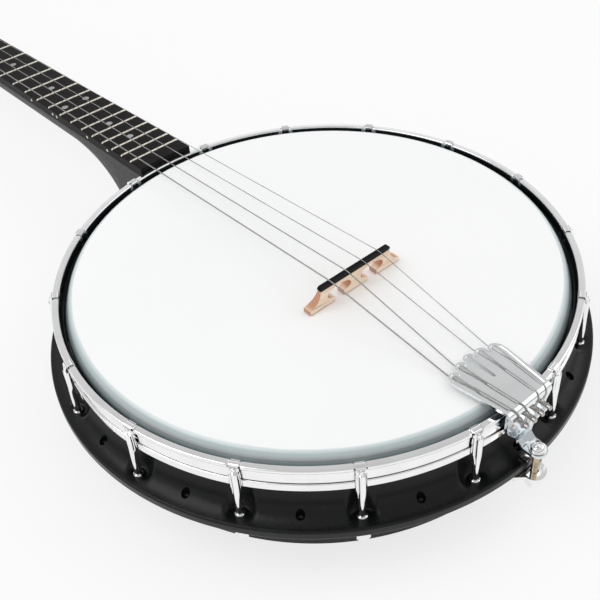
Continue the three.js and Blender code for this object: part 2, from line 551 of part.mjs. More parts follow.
// Tailpiece
function tailpiecePlate() {
  const under = TAIL_TOP - TAIL.thickness;
  const frontY = TAIL_FRONT_Y + TAIL.lobeRadius;
  const bendY = TAIL_SKIRT_OUTER_Y + TAIL.bendRadius;
  const bendZ = TAIL_TOP - TAIL.bendRadius;
  const innerBend = TAIL.bendRadius - TAIL.thickness;
  const skirtBottom = TAIL_TOP - TAIL.skirtDrop;
  const shoulderY = TAIL_FRONT_Y - TAIL.shoulderSetback;
  const section = polygon([
    [frontY, under], [frontY, TAIL_TOP],
    ...arc(bendY, bendZ, TAIL.bendRadius, TAIL.bendRadius, QUARTER_TURN, HALF_TURN, TAIL.bendSteps),
    [TAIL_SKIRT_OUTER_Y, skirtBottom], [TAIL_SKIRT_INNER_Y, skirtBottom],
    ...arc(bendY, bendZ, innerBend, innerBend, HALF_TURN, QUARTER_TURN, TAIL.bendSteps),
  ]);
  const plan = polygon([
    [-TAIL.shoulderHalf, TAIL_FRONT_Y], [-TAIL.shoulderHalf, shoulderY], [-TAIL.rearHalf, TAIL_REAR_Y],
    [-TAIL.rearHalf, TAIL_REAR_Y - OVERRUN], [TAIL.rearHalf, TAIL_REAR_Y - OVERRUN],
    [TAIL.rearHalf, TAIL_REAR_Y], [TAIL.shoulderHalf, shoulderY], [TAIL.shoulderHalf, TAIL_FRONT_Y],
  ]);
  const reach = TAIL.skirtDrop + OVERRUN * 2;
  const low = skirtBottom - OVERRUN;
  const lobes = ring(TAIL.lobeCount, (i) => {
    const x = (i - (TAIL.lobeCount - 1) / 2) * TAIL.lobeSpacing;
    return post(TAIL.lobeRadius, low, low + reach, x, TAIL_FRONT_Y);
  });
  const front = polygon([
    [-TAIL.shoulderHalf, TAIL_TOP + OVERRUN], [-TAIL.shoulderHalf, bendZ], [-TAIL.rearHalf, bendZ],
    [-TAIL.skirtHalf, skirtBottom], [TAIL.skirtHalf, skirtBottom], [TAIL.rearHalf, bendZ],
    [TAIL.shoulderHalf, bendZ], [TAIL.shoulderHalf, TAIL_TOP + OVERRUN],
  ]);
  const outline = join(slab(plan, low, reach), ...lobes);
  const depth = frontY - TAIL_SKIRT_OUTER_Y + OVERRUN * 2;
  const sheet = common(sideSlab(section, TAIL.shoulderHalf * 2), outline,
    frontSlab(front, TAIL_SKIRT_OUTER_Y - OVERRUN, depth));
  const slots = ring(TAIL.lobeCount, (i) => {
    const x = (i - (TAIL.lobeCount - 1) / 2) * TAIL.lobeSpacing;
    const ends = [SLOT_FRONT_Y, SLOT_REAR_Y];
    const rounds = ends.map((y) => post(TAIL.slotRadius, low, low + reach, x, y, SMALL_SIDES));
    const length = SLOT_FRONT_Y - SLOT_REAR_Y;
    const middle = (SLOT_FRONT_Y + SLOT_REAR_Y) / 2;
    return [block(TAIL.slotRadius * 2, length, reach, x, middle, low + reach / 2), ...rounds];
  }).flat();
  const pins = ring(STRING_COUNT, (i) => bar(TAIL.pinRadius, TAIL_SKIRT_OUTER_Y - TAIL.pinLength,
    TAIL_SKIRT_OUTER_Y + TAIL.thickness / 2, pinX(i), PIN_Z, SMALL_SIDES));
  const tabY = TAIL_SKIRT_OUTER_Y - TAIL.tabLength / 2 + TAIL.thickness / 4;
  const tabs = ring(STRING_COUNT - 1, (i) => block(TAIL.tabWidth, TAIL.tabLength + TAIL.thickness / 2,
    TAIL.tabThickness, pinX(i) + TAIL.pinSpacing / 2, tabY, PIN_Z));
  return join(cut(sheet, ...slots), ...pins, ...tabs);
}

function tailBracket() {
  const top = TAIL_TOP - TAIL.thickness - GAP;
  const corner = TAIL.bendRadius - TAIL.thickness;
  const shoulder = POT_DEPTH - BRACKET.shoulderDrop;
  const waist = POT_DEPTH - BRACKET.waistDrop;
  const bend = POT_DEPTH - BRACKET.bendDrop;
  const armY = BRACKET_OUTER_Y - BRACKET.armOut;
  const endY = TAIL_SCREW_Y - BRACKET.armHalf;
  const section = polygon([
    [BRACKET_INNER_Y, top], [BRACKET_OUTER_Y + corner, top], [BRACKET_OUTER_Y, top - corner],
    [BRACKET_OUTER_Y, bend], [armY, ARM_TOP],
    [endY, ARM_TOP], [endY, ARM_BOTTOM], [armY, ARM_BOTTOM], [BRACKET_INNER_Y, bend],
  ]);
  const front = polygon([
    [-BRACKET.topHalf, top], [-BRACKET.topHalf, shoulder], [-BRACKET.waistHalf, waist],
    [-BRACKET.waistHalf, ARM_BOTTOM], [BRACKET.waistHalf, ARM_BOTTOM], [BRACKET.waistHalf, waist],
    [BRACKET.topHalf, shoulder], [BRACKET.topHalf, top],
  ]);
  const plan = new THREE.Shape();
  plan.moveTo(-BRACKET.topHalf, BRACKET_INNER_Y);
  plan.lineTo(-BRACKET.topHalf, BRACKET_OUTER_Y);
  plan.lineTo(-BRACKET.armHalf, BRACKET_OUTER_Y);
  plan.lineTo(-BRACKET.armHalf, TAIL_SCREW_Y);
  plan.absarc(0, TAIL_SCREW_Y, BRACKET.armHalf, HALF_TURN, FULL_TURN);
  plan.lineTo(BRACKET.armHalf, BRACKET_OUTER_Y);
  plan.lineTo(BRACKET.topHalf, BRACKET_OUTER_Y);
  plan.lineTo(BRACKET.topHalf, BRACKET_INNER_Y);
  const reach = BRACKET_INNER_Y - endY;
  const height = top - ARM_BOTTOM;
  const sheet = common(sideSlab(section, BRACKET.topHalf * 2), frontSlab(front, endY, reach),
    slab(plan, ARM_BOTTOM, height));
  const holeRadius = TAIL_SCREW.radius + GAP;
  return cut(sheet, post(holeRadius, ARM_BOTTOM - OVERRUN, ARM_TOP + OVERRUN, 0, TAIL_SCREW_Y));
}

function tailClamp() {
  const plan = new THREE.Shape();
  plan.moveTo(-CLAMP.half, CLAMP_WALL_Y);
  plan.lineTo(-CLAMP.half, CLAMP_NECK_Y);
  plan.lineTo(-CLAMP.endRadius, TAIL_SCREW_Y);
  plan.absarc(0, TAIL_SCREW_Y, CLAMP.endRadius, HALF_TURN, FULL_TURN);
  plan.lineTo(CLAMP.half, CLAMP_NECK_Y);
  plan.lineTo(CLAMP.half, CLAMP_WALL_Y);
  const plate = slab(plan, CLAMP_BOTTOM, CLAMP.thickness);
  const wallMiddle = CLAMP_WALL_Y - CLAMP.thickness / 2;
  const wallZ = CLAMP_TOP - CLAMP.wallDrop / 2;
  const wall = block(CLAMP.half * 2, CLAMP.thickness, CLAMP.wallDrop, 0, wallMiddle, wallZ);
  const tongueEnd = TONGUE_Y + CLAMP.tongueThickness / 2;
  const tongueBottom = coveHeight(-tongueEnd) + GAP;
  const tongueTop = tongueBottom + CLAMP.tongueThickness;
  const riserHeight = tongueTop - CLAMP_BOTTOM;
  const riserZ = (tongueTop + CLAMP_BOTTOM) / 2;
  const riser = block(CLAMP.tongueWidth, CLAMP.tongueThickness, riserHeight, CLAMP.tongueX, TONGUE_Y,
    riserZ);
  const tongueY = tongueEnd - CLAMP.tongueLength / 2;
  const tongueZ = (tongueTop + tongueBottom) / 2;
  const tongue = block(CLAMP.tongueWidth, CLAMP.tongueLength, CLAMP.tongueThickness, CLAMP.tongueX, tongueY,
    tongueZ);
  const screwHole = post(TAIL_SCREW.radius + GAP, CLAMP_BOTTOM - OVERRUN, CLAMP_TOP + OVERRUN, 0,
    TAIL_SCREW_Y);
  const wallReach = CLAMP.thickness + OVERRUN;
  const studHole = bar(ROD.studRadius + ROD.studPlay, CLAMP_WALL_Y - wallReach, CLAMP_WALL_Y + OVERRUN, 0,
    ROD.z);
  return cut(join(plate, wall, riser, tongue), screwHole, studHole);
}

function tailScrew() {
  const headBottom = ARM_TOP + GAP;
  const headTop = headBottom + TAIL_SCREW.headHeight;
  const crown = TAIL_SCREW.headRadius - TAIL_SCREW.headStep;
  const end = CLAMP_BOTTOM - TAIL_NUT.boreDepth;
  return turned([
    [0, headTop], [crown, headTop], [TAIL_SCREW.headRadius, headTop - TAIL_SCREW.headStep],
    [TAIL_SCREW.headRadius, headBottom], [TAIL_SCREW.radius, headBottom],
    [TAIL_SCREW.radius, end], [0, end],
  ], ROD_SIDES).translate(0, TAIL_SCREW_Y, 0);
}

function tailNut() {
  const top = CLAMP_BOTTOM - GAP;
  const flatEnd = top - TAIL_NUT.height;
  const end = flatEnd - TAIL_NUT.domeHeight;
  const bore = TAIL_SCREW.radius + GAP;
  const hex = turned([[0, top], [TAIL_NUT.radius, top], [TAIL_NUT.radius, flatEnd], [0, flatEnd]], HEX_SIDES);
  const waist = TAIL_NUT.radius * Math.cos(HALF_TURN / HEX_SIDES);
  const dome = turned([
    [0, flatEnd + GAP], [waist, flatEnd + GAP], [waist, flatEnd], [waist * TAIL_NUT.domeShare, end], [0, end],
  ], ROD_SIDES);
  const nut = cut(join(hex, dome), post(bore, top - TAIL_NUT.boreDepth, top + OVERRUN));
  return nut.translate(0, TAIL_SCREW_Y, 0);
}

// Rod, bolts and nuts across the pot
const SEAT_SAG = RIM_INNER_R - Math.sqrt(RIM_INNER_R ** 2 - ROD.nutRadius ** 2);
const NUT_SEAT_Y = RIM_INNER_R - SEAT_SAG - GAP;

function coordinatorRod() {
  const bodyEnd = NUT_SEAT_Y - ROD.nutLength - GAP;
  const tailEnd = CLAMP_WALL_Y - CLAMP.thickness - ROD.endLength;
  const body = bar(ROD.radius, -bodyEnd, bodyEnd, 0, ROD.z);
  const stud = bar(ROD.studRadius, tailEnd, RIM_OUTER_R + ROD.intoHeel, 0, ROD.z);
  return join(body, stud);
}

function hexNut(near, far, z) {
  const bore = bar(ROD.studRadius + ROD.studPlay, near - OVERRUN, far + OVERRUN, 0, z);
  return cut(bar(ROD.nutRadius, near, far, 0, z, HEX_SIDES), bore);
}

function rodEndNut() {
  const seat = CLAMP_WALL_Y - CLAMP.thickness - GAP;
  return hexNut(seat - ROD.nutLength, seat, ROD.z);
}

function heelBolt() {
  return bar(ROD.studRadius, NUT_SEAT_Y - HEEL_BOLT.headroom, RIM_OUTER_R + HEEL_BOLT.length, 0, HEEL_BOLT.z);
}

// Neck
// Half the width of the board and neck at a distance y along the neck.
function halfWidthAt(y) {
  return mix(NECK.halfAtBody, NECK.halfAtNut, (y - BOARD_START_Y) / (NUT_Y - BOARD_START_Y));
}

function shaftDepthAt(y) {
  return mix(NECK.depthAtBody, NECK.depthAtNut, (y - THROAT_Y) / (NUT_Y - THROAT_Y));
}

// One cross-section: a D with a flat top, [x, z] corners from the left edge round underneath.
function neckSection(y, depth, bottomHalf) {
  const half = halfWidthAt(y);
  const steps = NECK.sectionSteps;
  const reach = depth + NECK_TOP;
  const power = 2 / NECK.shaftPower;
  const right = ring(steps + 1, (i) => {
    const angle = (QUARTER_TURN * i) / steps;
    const x = bottomHalf + (half - bottomHalf) * Math.cos(angle) ** power;
    return [x, NECK_TOP - reach * Math.sin(angle) ** power];
  });
  const left = right.map(([x, z]) => [-x, z]).reverse();
  return [...right, ...left].map(([x, z]) => [x, y, z]);
}

// A closed solid through cross-sections that all have the same number of corners.
function loft(sections) {
  const count = sections[0].length;
  const position = sections.flat(2);
  const index = [];
  for (let s = 0; s < sections.length - 1; s += 1) {
    for (let i = 0; i < count; i += 1) {
      const next = (i + 1) % count;
      const a = s * count + i;
      const b = s * count + next;
      index.push(a, b, b + count, a, b + count, a + count);
    }
  }
  const ends = [0, sections.length - 1];
  ends.forEach((s, side) => {
    for (let i = 1; i < count - 1; i += 1) {
      const fan = [s * count, s * count + i + 1, s * count + i];
      index.push(...(side ? fan.reverse() : fan));
    }
  });
  const geometry = new THREE.BufferGeometry();
  geometry.setAttribute('position', new THREE.Float32BufferAttribute(position, 3));
  geometry.setIndex(index);
  return geometry;
}

function neckShaft() {
  const heel = ring(NECK.throatSteps + 1, (i) => {
    const angle = QUARTER_TURN * (1 - i / NECK.throatSteps);
    const y = THROAT_Y - NECK.heelSpan * Math.sin(angle);
    const depth = NECK.depthAtBody + (NECK.heelDepth - NECK.depthAtBody) * (1 - Math.cos(angle));
    const spread = THREE.MathUtils.clamp((THROAT_Y - y) / NECK.heelBlend, 0, 1);
    return neckSection(y, depth, NECK.heelHalf * spread);
  });
  const root = neckSection(RIM_OUTER_R - NECK.rootInset, NECK.heelDepth, NECK.heelHalf);
  const shaftEnd = NUT_Y - NECK.voluteLength;
  const shaft = ring(NECK.shaftSteps, (i) => {
    const y = mix(THROAT_Y, shaftEnd, (i + 1) / NECK.shaftSteps);
    return neckSection(y, shaftDepthAt(y), 0);
  });
  const voluteEnd = NUT_Y + NUT_BLOCK.thickness + NECK.joinOverlap;
  const volute = ring(NECK.voluteSteps, (i) => {
    const share = (i + 1) / NECK.voluteSteps;
    const y = mix(shaftEnd, voluteEnd, share);
    return neckSection(y, shaftDepthAt(y) + NECK.volute * Math.sin(share * HALF_TURN), 0);
  });
  return loft([root, ...heel, ...shaft, ...volute]);
}

function headstockOutline() {
  const right = HEADSTOCK_OUTLINE_SHARES.map(([x, y]) => new THREE.Vector2(x * HEADSTOCK.halfWidth,
    y * HEADSTOCK.length));
  const points = new THREE.SplineCurve(right).getPoints(OUTLINE_STEPS);
  points[OUTLINE_STEPS].x = 0;
  const left = points.slice(0, OUTLINE_STEPS).map((p) => new THREE.Vector2(-p.x, p.y)).reverse();
  return new THREE.Shape([...points, ...left]);
}

function headstockHoles(low, high, radius) {
  return tunerPlaces().map(({ x, y }) => post(radius, low, high, x, y));
}

// Where each string's machine stands in the headstock frame. Outer strings take the lower posts.
function tunerPlaces() {
  return ring(STRING_COUNT, (i) => {
    const side = i < STRING_COUNT / 2 ? -1 : 1;
    const outer = i === 0 || i === STRING_COUNT - 1;
    return { side, x: side * TUNER.postX, y: outer ? TUNER.lowerY : TUNER.upperY };
  });
}

function trussChannel() {
  const width = TRUSS.width + TRUSS.channelPlay * 2;
  const height = TRUSS.height + TRUSS.channelPlay + OVERRUN;
  const length = NUT_Y + TRUSS.exitLength - TRUSS_START_Y;
  const y = TRUSS_START_Y + length / 2;
  return block(width, length, height, 0, y, NECK_TOP + OVERRUN - height / 2);
}

function neckPiece() {
  const core = slab(headstockOutline(), HEADSTOCK_BACK, HEADSTOCK.thickness);
  core.applyMatrix4(headFrame.matrix);
  const trimEnd = NUT_Y + NUT_BLOCK.thickness + GAP;
  const trimSize = HEADSTOCK.thickness * 4;
  const trim = block(trimSize, trimSize, trimSize, 0, trimEnd - trimSize / 2, NECK_TOP + trimSize / 2);
  const potToNeck = neckFrame.matrix.clone().invert();
  const seat = turned([
    [0, -POT_DEPTH], [RIM_OUTER_R + GAP, -POT_DEPTH], [RIM_OUTER_R + GAP, FLANGE_BOTTOM - GAP],
    [FLANGE_OUTER_R + GAP, FLANGE_BOTTOM - GAP], [FLANGE_OUTER_R + GAP, FLANGE_TOP + GAP],
    ...covePoints(GAP).map(([r, z]) => [r, z + GAP]), [LIP_OUTER_R + GAP, COVE_TOP + GAP],
    [LIP_OUTER_R + GAP, POT_DEPTH * 2], [0, POT_DEPTH * 2],
  ], RING_SIDES).applyMatrix4(potToNeck);
  const capSize = POT_DEPTH * 2;
  const capY = RIM_OUTER_R + capSize / 2;
  const heelCap = block(capSize, capSize, capSize, 0, capY, NECK.heelBottomZ - capSize / 2)
    .applyMatrix4(potToNeck);
  const studHole = ROD.studRadius + ROD.studPlay;
  const studReach = [RIM_INNER_R, RIM_OUTER_R + ROD.intoHeel + OVERRUN];
  const boltReach = [RIM_INNER_R, RIM_OUTER_R + HEEL_BOLT.length + OVERRUN];
  const studBore = bar(studHole, ...studReach, 0, ROD.z).applyMatrix4(potToNeck);
  const boltBore = bar(studHole, ...boltReach, 0, HEEL_BOLT.z).applyMatrix4(potToNeck);
  const bushes = headstockHoles(HEADSTOCK_BACK - OVERRUN, OVERRUN, BUSHING.holeRadius)
    .map((hole) => hole.applyMatrix4(headFrame.matrix));
  const blank = join(neckShaft(), cut(core, trim));
  return cut(blank, seat, heelCap, studBore, boltBore, trussChannel(), ...bushes);
}

function trussRod() {
  const length = NUT_Y + TRUSS.exitLength - GAP - GAP - TRUSS_START_Y - TRUSS.channelPlay;
  const y = TRUSS_START_Y + TRUSS.channelPlay + length / 2;
  return block(TRUSS.width, length, TRUSS.height, 0, y, NECK_TOP - TRUSS.channelPlay / 2 - TRUSS.height / 2);
}

// Fingerboard with its frets, cut to the neck's taper
function fretY(n) {
  return SCALE_START_Y + SCALE_LENGTH * 2 ** (-n / 12);
}

function fingerboard() {
  const half = FRET.width / 2;
  const crown = half * FRET.crownShare;
  const end = NUT_Y - GAP;
  const places = ring(FRET_COUNT, (i) => fretY(FRET_COUNT - i)).filter((y) => y - half > BOARD_START_Y);
  const top = places.flatMap((y) => [
    [y - half, 0], [y - crown, FRET.height], [y + crown, FRET.height], [y + half, 0],
  ]);
  const side = polygon([
    [BOARD_START_Y, -NECK.boardThickness], [BOARD_START_Y, 0], ...top, [end, 0], [end, -NECK.boardThickness],
  ]);
  const near = halfWidthAt(BOARD_START_Y);
  const far = halfWidthAt(end);
  const plan = polygon([[-near, BOARD_START_Y], [near, BOARD_START_Y], [far, end], [-far, end]]);
  const height = NECK.boardThickness + FRET.height + OVERRUN;
  return common(sideSlab(side, NECK.halfAtBody * 2 + OVERRUN), slab(plan, -NECK.boardThickness, height));
}

function nutBlock() {
  const height = NUT_BLOCK.rise + NECK.boardThickness;
  const middle = NUT_Y + NUT_BLOCK.thickness / 2;
  const width = halfWidthAt(NUT_Y) * 2;
  const body = block(width, NUT_BLOCK.thickness, height, 0, middle, NUT_BLOCK.rise - height / 2);
  const near = NUT_Y - OVERRUN;
  const far = NUT_Y + NUT_BLOCK.thickness + OVERRUN;
  const notches = STRING_RADII.map((radius, i) => bar(radius + GAP, near, far, nutX(i), NUT_BLOCK.rise,
    SMALL_SIDES));
  return cut(body, ...notches);
}

function headstockOverlay() {
  const sheet = slab(headstockOutline(), -HEADSTOCK.overlay, HEADSTOCK.overlay);
  const size = HEADSTOCK.length;
  const trim = block(size, size, size, 0, OVERLAY_START_Y - size / 2, 0);
  const exitWidth = TRUSS.width + TRUSS.channelPlay * 2;
  const exitLength = TRUSS.exitLength;
  const exit = block(exitWidth, exitLength, size, 0, OVERLAY_START_Y + exitLength / 2 - OVERRUN, 0);
  const holes = headstockHoles(-HEADSTOCK.overlay - OVERRUN, OVERRUN, BUSHING.holeRadius);
  return cut(sheet, trim, exit, ...holes);
}

function trussRodCover() {
  const right = COVER_OUTLINE_SHARES.map(([x, y]) => [x * COVER.halfWidth, COVER.startY + y * COVER.length]);
  const left = right.map(([x, y]) => [-x, y]).reverse();
  return slab(polygon([...right, ...left]), GAP, TRUSS.coverThickness);
}

// Tuning machines
function roundedPlan(lowX, highX, lowY, highY, radius) {
  const shape = new THREE.Shape();
  shape.moveTo(lowX + radius, lowY);
  shape.lineTo(highX - radius, lowY);
  shape.absarc(highX - radius, lowY + radius, radius, -QUARTER_TURN, 0);
  shape.lineTo(highX, highY - radius);
  shape.absarc(highX - radius, highY - radius, radius, 0, QUARTER_TURN);
  shape.lineTo(lowX + radius, highY);
  shape.absarc(lowX + radius, highY - radius, radius, QUARTER_TURN, HALF_TURN);
  shape.lineTo(lowX, lowY + radius);
  shape.absarc(lowX + radius, lowY + radius, radius, HALF_TURN, HALF_TURN + QUARTER_TURN);
  return shape;
}

// A cylinder across the headstock, from x = low to x = high.
function crossBar(radius, low, high, y, z, sides = ROD_SIDES) {
  const geometry = new THREE.CylinderGeometry(radius, radius, high - low, sides);
  return geometry.rotateZ(QUARTER_TURN).translate((low + high) / 2, y, z);
}

const HOUSING_LOW_Y = -(TUNER.gearRadius + GAP * 2 + TUNER.housingWall);
const HOUSING_HIGH_Y = GEAR_MESH + TUNER.wormRadius + GAP * 2 + TUNER.housingWall;
const BUTTON_START_X = HEADSTOCK.halfWidth - TUNER.postX + TUNER.edgeClearance;

// side is 1 for the machines on the right and -1 for those on the left; outwards is side times x
function mirrored(geometry, side) {
  return side > 0 ? geometry : geometry.rotateZ(HALF_TURN).scale(1, -1, 1);
}

function tunerHousing(side) {
  const wall = TUNER.housingWall;
  const half = HOUSING_HALF_X;
  const steps = TUNER.cornerSteps;
  const outer = slab(roundedPlan(-half, half, HOUSING_LOW_Y, HOUSING_HIGH_Y, TUNER.cornerRadius),
    HOUSING_BOTTOM, TUNER.housingDepth, steps);
  const pocketRadius = TUNER.cornerRadius - wall;
  const pocket = slab(roundedPlan(-half + wall, half - wall, HOUSING_LOW_Y + wall, HOUSING_HIGH_Y - wall,
    pocketRadius), HOUSING_BOTTOM + wall, TUNER.housingDepth, steps);
  const earY = HOUSING_LOW_Y - TUNER.earReach;
  const earThickness = wall * 2;
  const ear = post(TUNER.earRadius, HOUSING_TOP - earThickness, HOUSING_TOP, 0, earY, SMALL_SIDES);
  const bridgeLength = TUNER.earReach + wall / 2;
  const earBridge = block(TUNER.earRadius * 2, bridgeLength, earThickness, 0, earY + bridgeLength / 2,
    HOUSING_TOP - earThickness / 2);
  const bossEnd = half + TUNER.bossLength;
  const boss = crossBar(TUNER.bossRadius, half - wall / 2, bossEnd, GEAR_MESH, WORM_Z, SMALL_SIDES);
  const bore = crossBar(TUNER.shaftRadius + TUNER.shaftPlay, 0, bossEnd + OVERRUN, GEAR_MESH, WORM_Z,
    SMALL_SIDES);
  return mirrored(cut(join(outer, ear, earBridge, boss), pocket, bore), side);
}

function gearOutline() {
  const root = TUNER.gearRadius - TUNER.toothDepth;
  const shares = [
    [0, root], [TOOTH_SHARES.tipStart, TUNER.gearRadius], [TOOTH_SHARES.tipEnd, TUNER.gearRadius],
    [TOOTH_SHARES.rootStart, root],
  ];
  return polygon(ring(TUNER.gearTeeth, (i) => shares.map(([share, radius]) => {
    const angle = ((i + share) * FULL_TURN) / TUNER.gearTeeth;
    return [radius * Math.cos(angle), radius * Math.sin(angle)];
  })).flat());
}

function stringPost() {
  const bottom = HOUSING_BOTTOM + TUNER.housingWall + GAP;
  const top = POST.rise;
  const waist = (POST.waistTop - POST.waistBottom) / 4;
  const body = turned([
    [0, top], [POST.radius - POST.topChamfer, top], [POST.radius, top - POST.topChamfer],
    [POST.radius, POST.waistTop], [POST.waistRadius, POST.waistTop - waist],
    [POST.waistRadius, POST.waistBottom + waist], [POST.radius, POST.waistBottom], [POST.radius, bottom],
    [0, bottom],
  ], SMALL_SIDES);
  const gear = slab(gearOutline(), WORM_Z - TUNER.gearThickness / 2, TUNER.gearThickness);
  return join(body, gear);
}

function tunerBushing() {
  const low = -BUSHING.depth;
  const seat = GAP;
  const high = seat + BUSHING.collarHeight;
  const rounding = BUSHING.collarHeight / 3;
  return turned([
    [BUSHING.bore, low], [BUSHING.radius, low], [BUSHING.radius, seat], [BUSHING.collarRadius, seat],
    [BUSHING.collarRadius, high - rounding], [BUSHING.collarRadius - rounding, high], [BUSHING.bore, high],
  ], ROD_SIDES);
}

// The button, its shaft and its worm, about the shaft's own line
function tunerButton(side) {
  const inner = -(HOUSING_HALF_X - TUNER.housingWall - GAP * 2);
  const shaftEnd = BUTTON_START_X + BUTTON.collarLength;
  const shaft = crossBar(TUNER.shaftRadius, inner, shaftEnd, 0, 0, SMALL_SIDES);
  const worm = crossBar(TUNER.wormRadius, -TUNER.wormLength / 2, TUNER.wormLength / 2, 0, 0, SMALL_SIDES);
  const collar = crossBar(BUTTON.collarRadius, BUTTON_START_X, shaftEnd + BUTTON.collarLength, 0, 0,
    SMALL_SIDES);
  const middle = shaftEnd + BUTTON.halfLength;
  const outline = polygon(arc(middle, 0, BUTTON.halfLength, BUTTON.halfWidth, 0, FULL_TURN, ROD_SIDES)
    .slice(0, ROD_SIDES));
  const key = slab(outline, -BUTTON.thickness / 2, BUTTON.thickness);
  return mirrored(join(shaft, worm, collar, key), side);
}

// Strings
// A curve through its own points, with each bend shared between the two runs that meet there.
class StringRoute extends THREE.Curve {
  constructor(points) {
    super();
    this.points = points;
  }

  getUtoTmapping(u) {
    return u;
  }

  getPoint(t, target = new THREE.Vector3()) {
    const last = this.points.length - 1;
    const at = Math.min(t * last, last);
    const i = Math.min(Math.floor(at), last - 1);
    return target.lerpVectors(this.points[i], this.points[i + 1], at - i);
  }

  getTangent(t, target = new THREE.Vector3()) {
    const last = this.points.length - 1;
    const i = Math.round(t * last);
    const before = this.points[Math.max(i, 1)].clone().sub(this.points[Math.max(i - 1, 0)]).normalize();
    const after = this.points[Math.min(i + 1, last)].clone().sub(this.points[Math.min(i, last - 1)]);
    return target.copy(before).add(after.normalize()).normalize();
  }
}

function wire(points, radius) {
  const angles = ring(STRING_SIDES, (i) => (i * FULL_TURN) / STRING_SIDES);
  const section = polygon(angles.map((angle) => [radius * Math.cos(angle), radius * Math.sin(angle)]));
  const route = new StringRoute(points);
  return new THREE.ExtrudeGeometry(section, { steps: points.length - 1, extrudePath: route });
}

// Points from the tail pin over the plate, through its slot, over the bridge and the nut, and round
// the post, all in the pot frame.
function stringPoints(i) {
  const radius = STRING_RADII[i];
  const clear = GAP + radius;
  const lift = TAIL_TOP + clear;
  const skirt = TAIL_SKIRT_OUTER_Y - clear;
  const bendY = TAIL_SKIRT_OUTER_Y + TAIL.bendRadius;
  const bendZ = TAIL_TOP - TAIL.bendRadius;
  const bendRadius = TAIL.bendRadius + clear;
  const pinTop = PIN_Z + TAIL.pinRadius + clear;
  const under = TAIL_TOP - TAIL.thickness - clear;
  const bendX = slotX(i) * TAIL.bendShare;
  const skirtX = (pinX(i) + bendX) / 2;
  const points = [
    new THREE.Vector3(pinX(i), skirt - TAIL.pinLength / 3, pinTop),
    new THREE.Vector3(pinX(i), skirt - radius, pinTop),
    new THREE.Vector3(pinX(i), skirt, pinTop + radius),
  ];
  arc(bendY, bendZ, bendRadius, bendRadius, HALF_TURN, QUARTER_TURN, TAIL.bendSteps).forEach(([y, z], k) => {
    points.push(new THREE.Vector3(mix(skirtX, bendX, k / TAIL.bendSteps), y, z));
  });
  points.push(new THREE.Vector3(slotX(i), SLOT_REAR_Y - TAIL.slotRadius / 2, lift));
  points.push(new THREE.Vector3(slotX(i), SLOT_FRONT_Y, under));
  points.push(new THREE.Vector3(slotX(i), TAIL_FRONT_Y + TAIL.lobeRadius, under));
  const saddle = BRIDGE.capThickness / 2;
  points.push(new THREE.Vector3(bridgeX(i), SADDLE_Y - saddle, STRING_Z_AT_BRIDGE));
  points.push(new THREE.Vector3(bridgeX(i), SADDLE_Y + saddle, STRING_Z_AT_BRIDGE));
  const nutNear = new THREE.Vector3(nutX(i), NUT_Y, NUT_BLOCK.rise).applyMatrix4(neckFrame.matrix);
  points.push(nutNear);
  const edge = new THREE.Vector3(nutX(i), NUT_Y + NUT_BLOCK.thickness, NUT_BLOCK.rise);
  points.push(edge.clone().applyMatrix4(neckFrame.matrix));
  const headToPot = headFrame.matrix.clone().premultiply(neckFrame.matrix);
  const start = edge.applyMatrix4(headFrame.matrix.clone().invert());
  return [...points, ...windingPoints(i, start).map((point) => point.applyMatrix4(headToPot))];
}

// The string meets the inner side of its post on a tangent and winds down it.
function windingPoints(i, start) {
  const { side, x, y } = tunerPlaces()[i];
  const radius = STRING_RADII[i];
  const reach = POST.waistRadius + GAP + radius;
  const towards = new THREE.Vector2((x - start.x) * -side, y - start.y);
  const distance = towards.length();
  const heading = Math.atan2(towards.y, towards.x) - Math.asin(reach / distance);
  const first = heading - QUARTER_TURN;
  const pitch = radius * 2 + WINDING.clear;
  const steps = Math.round(WINDING.turns * WINDING.stepsPerTurn);
  return ring(steps + 1, (k) => {
    const angle = first + (k * FULL_TURN) / WINDING.stepsPerTurn;
    const z = WINDING.topZ - (pitch * k) / WINDING.stepsPerTurn;
    return new THREE.Vector3(x - side * reach * Math.cos(angle), y + reach * Math.sin(angle), z);
  });
}

// The least clear distance between one turn of a winding and the next, measured on its points.
function leastGap(points, radius) {
  let least = Infinity;
  const turn = WINDING.stepsPerTurn;
  points.forEach((a, i) => points.slice(i + turn / 2).forEach((b) => {
    least = Math.min(least, a.distanceTo(b) - radius * 2);
  }));
  return least;
}

// Assembly
place(pot, 'pot_rim', potRim(), MATERIALS.composite);
place(pot, 'drum_head', drumHead(), MATERIALS.film);
place(pot, 'tension_hoop', tensionHoop(), MATERIALS.chrome);
place(pot, 'flesh_hoop', fleshHoop(), MATERIALS.chrome);
const hookGeometry = hook();
for (let i = 0; i < HOOK_COUNT; i += 1) {
  const name = `hook_${String(i + 1).padStart(2, '0')}`;
  const mesh = place(pot, name, hookGeometry, MATERIALS.chrome);
  mesh.rotation.z = hookAngle(i);
}
place(pot, 'bridge_body', bridgeBody(), MATERIALS.maple);
place(pot, 'bridge_cap', bridgeCap(), MATERIALS.ebony);
place(pot, 'tailpiece_plate', tailpiecePlate(), MATERIALS.chrome);
place(pot, 'tail_bracket', tailBracket(), MATERIALS.zinc);
place(pot, 'tail_clamp', tailClamp(), MATERIALS.chrome);
place(pot, 'tail_screw', tailScrew(), MATERIALS.brass);
place(pot, 'tail_nut', tailNut(), MATERIALS.chrome);
place(pot, 'coordinator_rod', coordinatorRod(), MATERIALS.steel);
place(pot, 'rod_nut_heel', hexNut(NUT_SEAT_Y - ROD.nutLength, NUT_SEAT_Y, ROD.z), MATERIALS.steel);
place(pot, 'rod_nut_tail', hexNut(-NUT_SEAT_Y, ROD.nutLength - NUT_SEAT_Y, ROD.z), MATERIALS.steel);
place(pot, 'rod_end_nut', rodEndNut(), MATERIALS.steel);
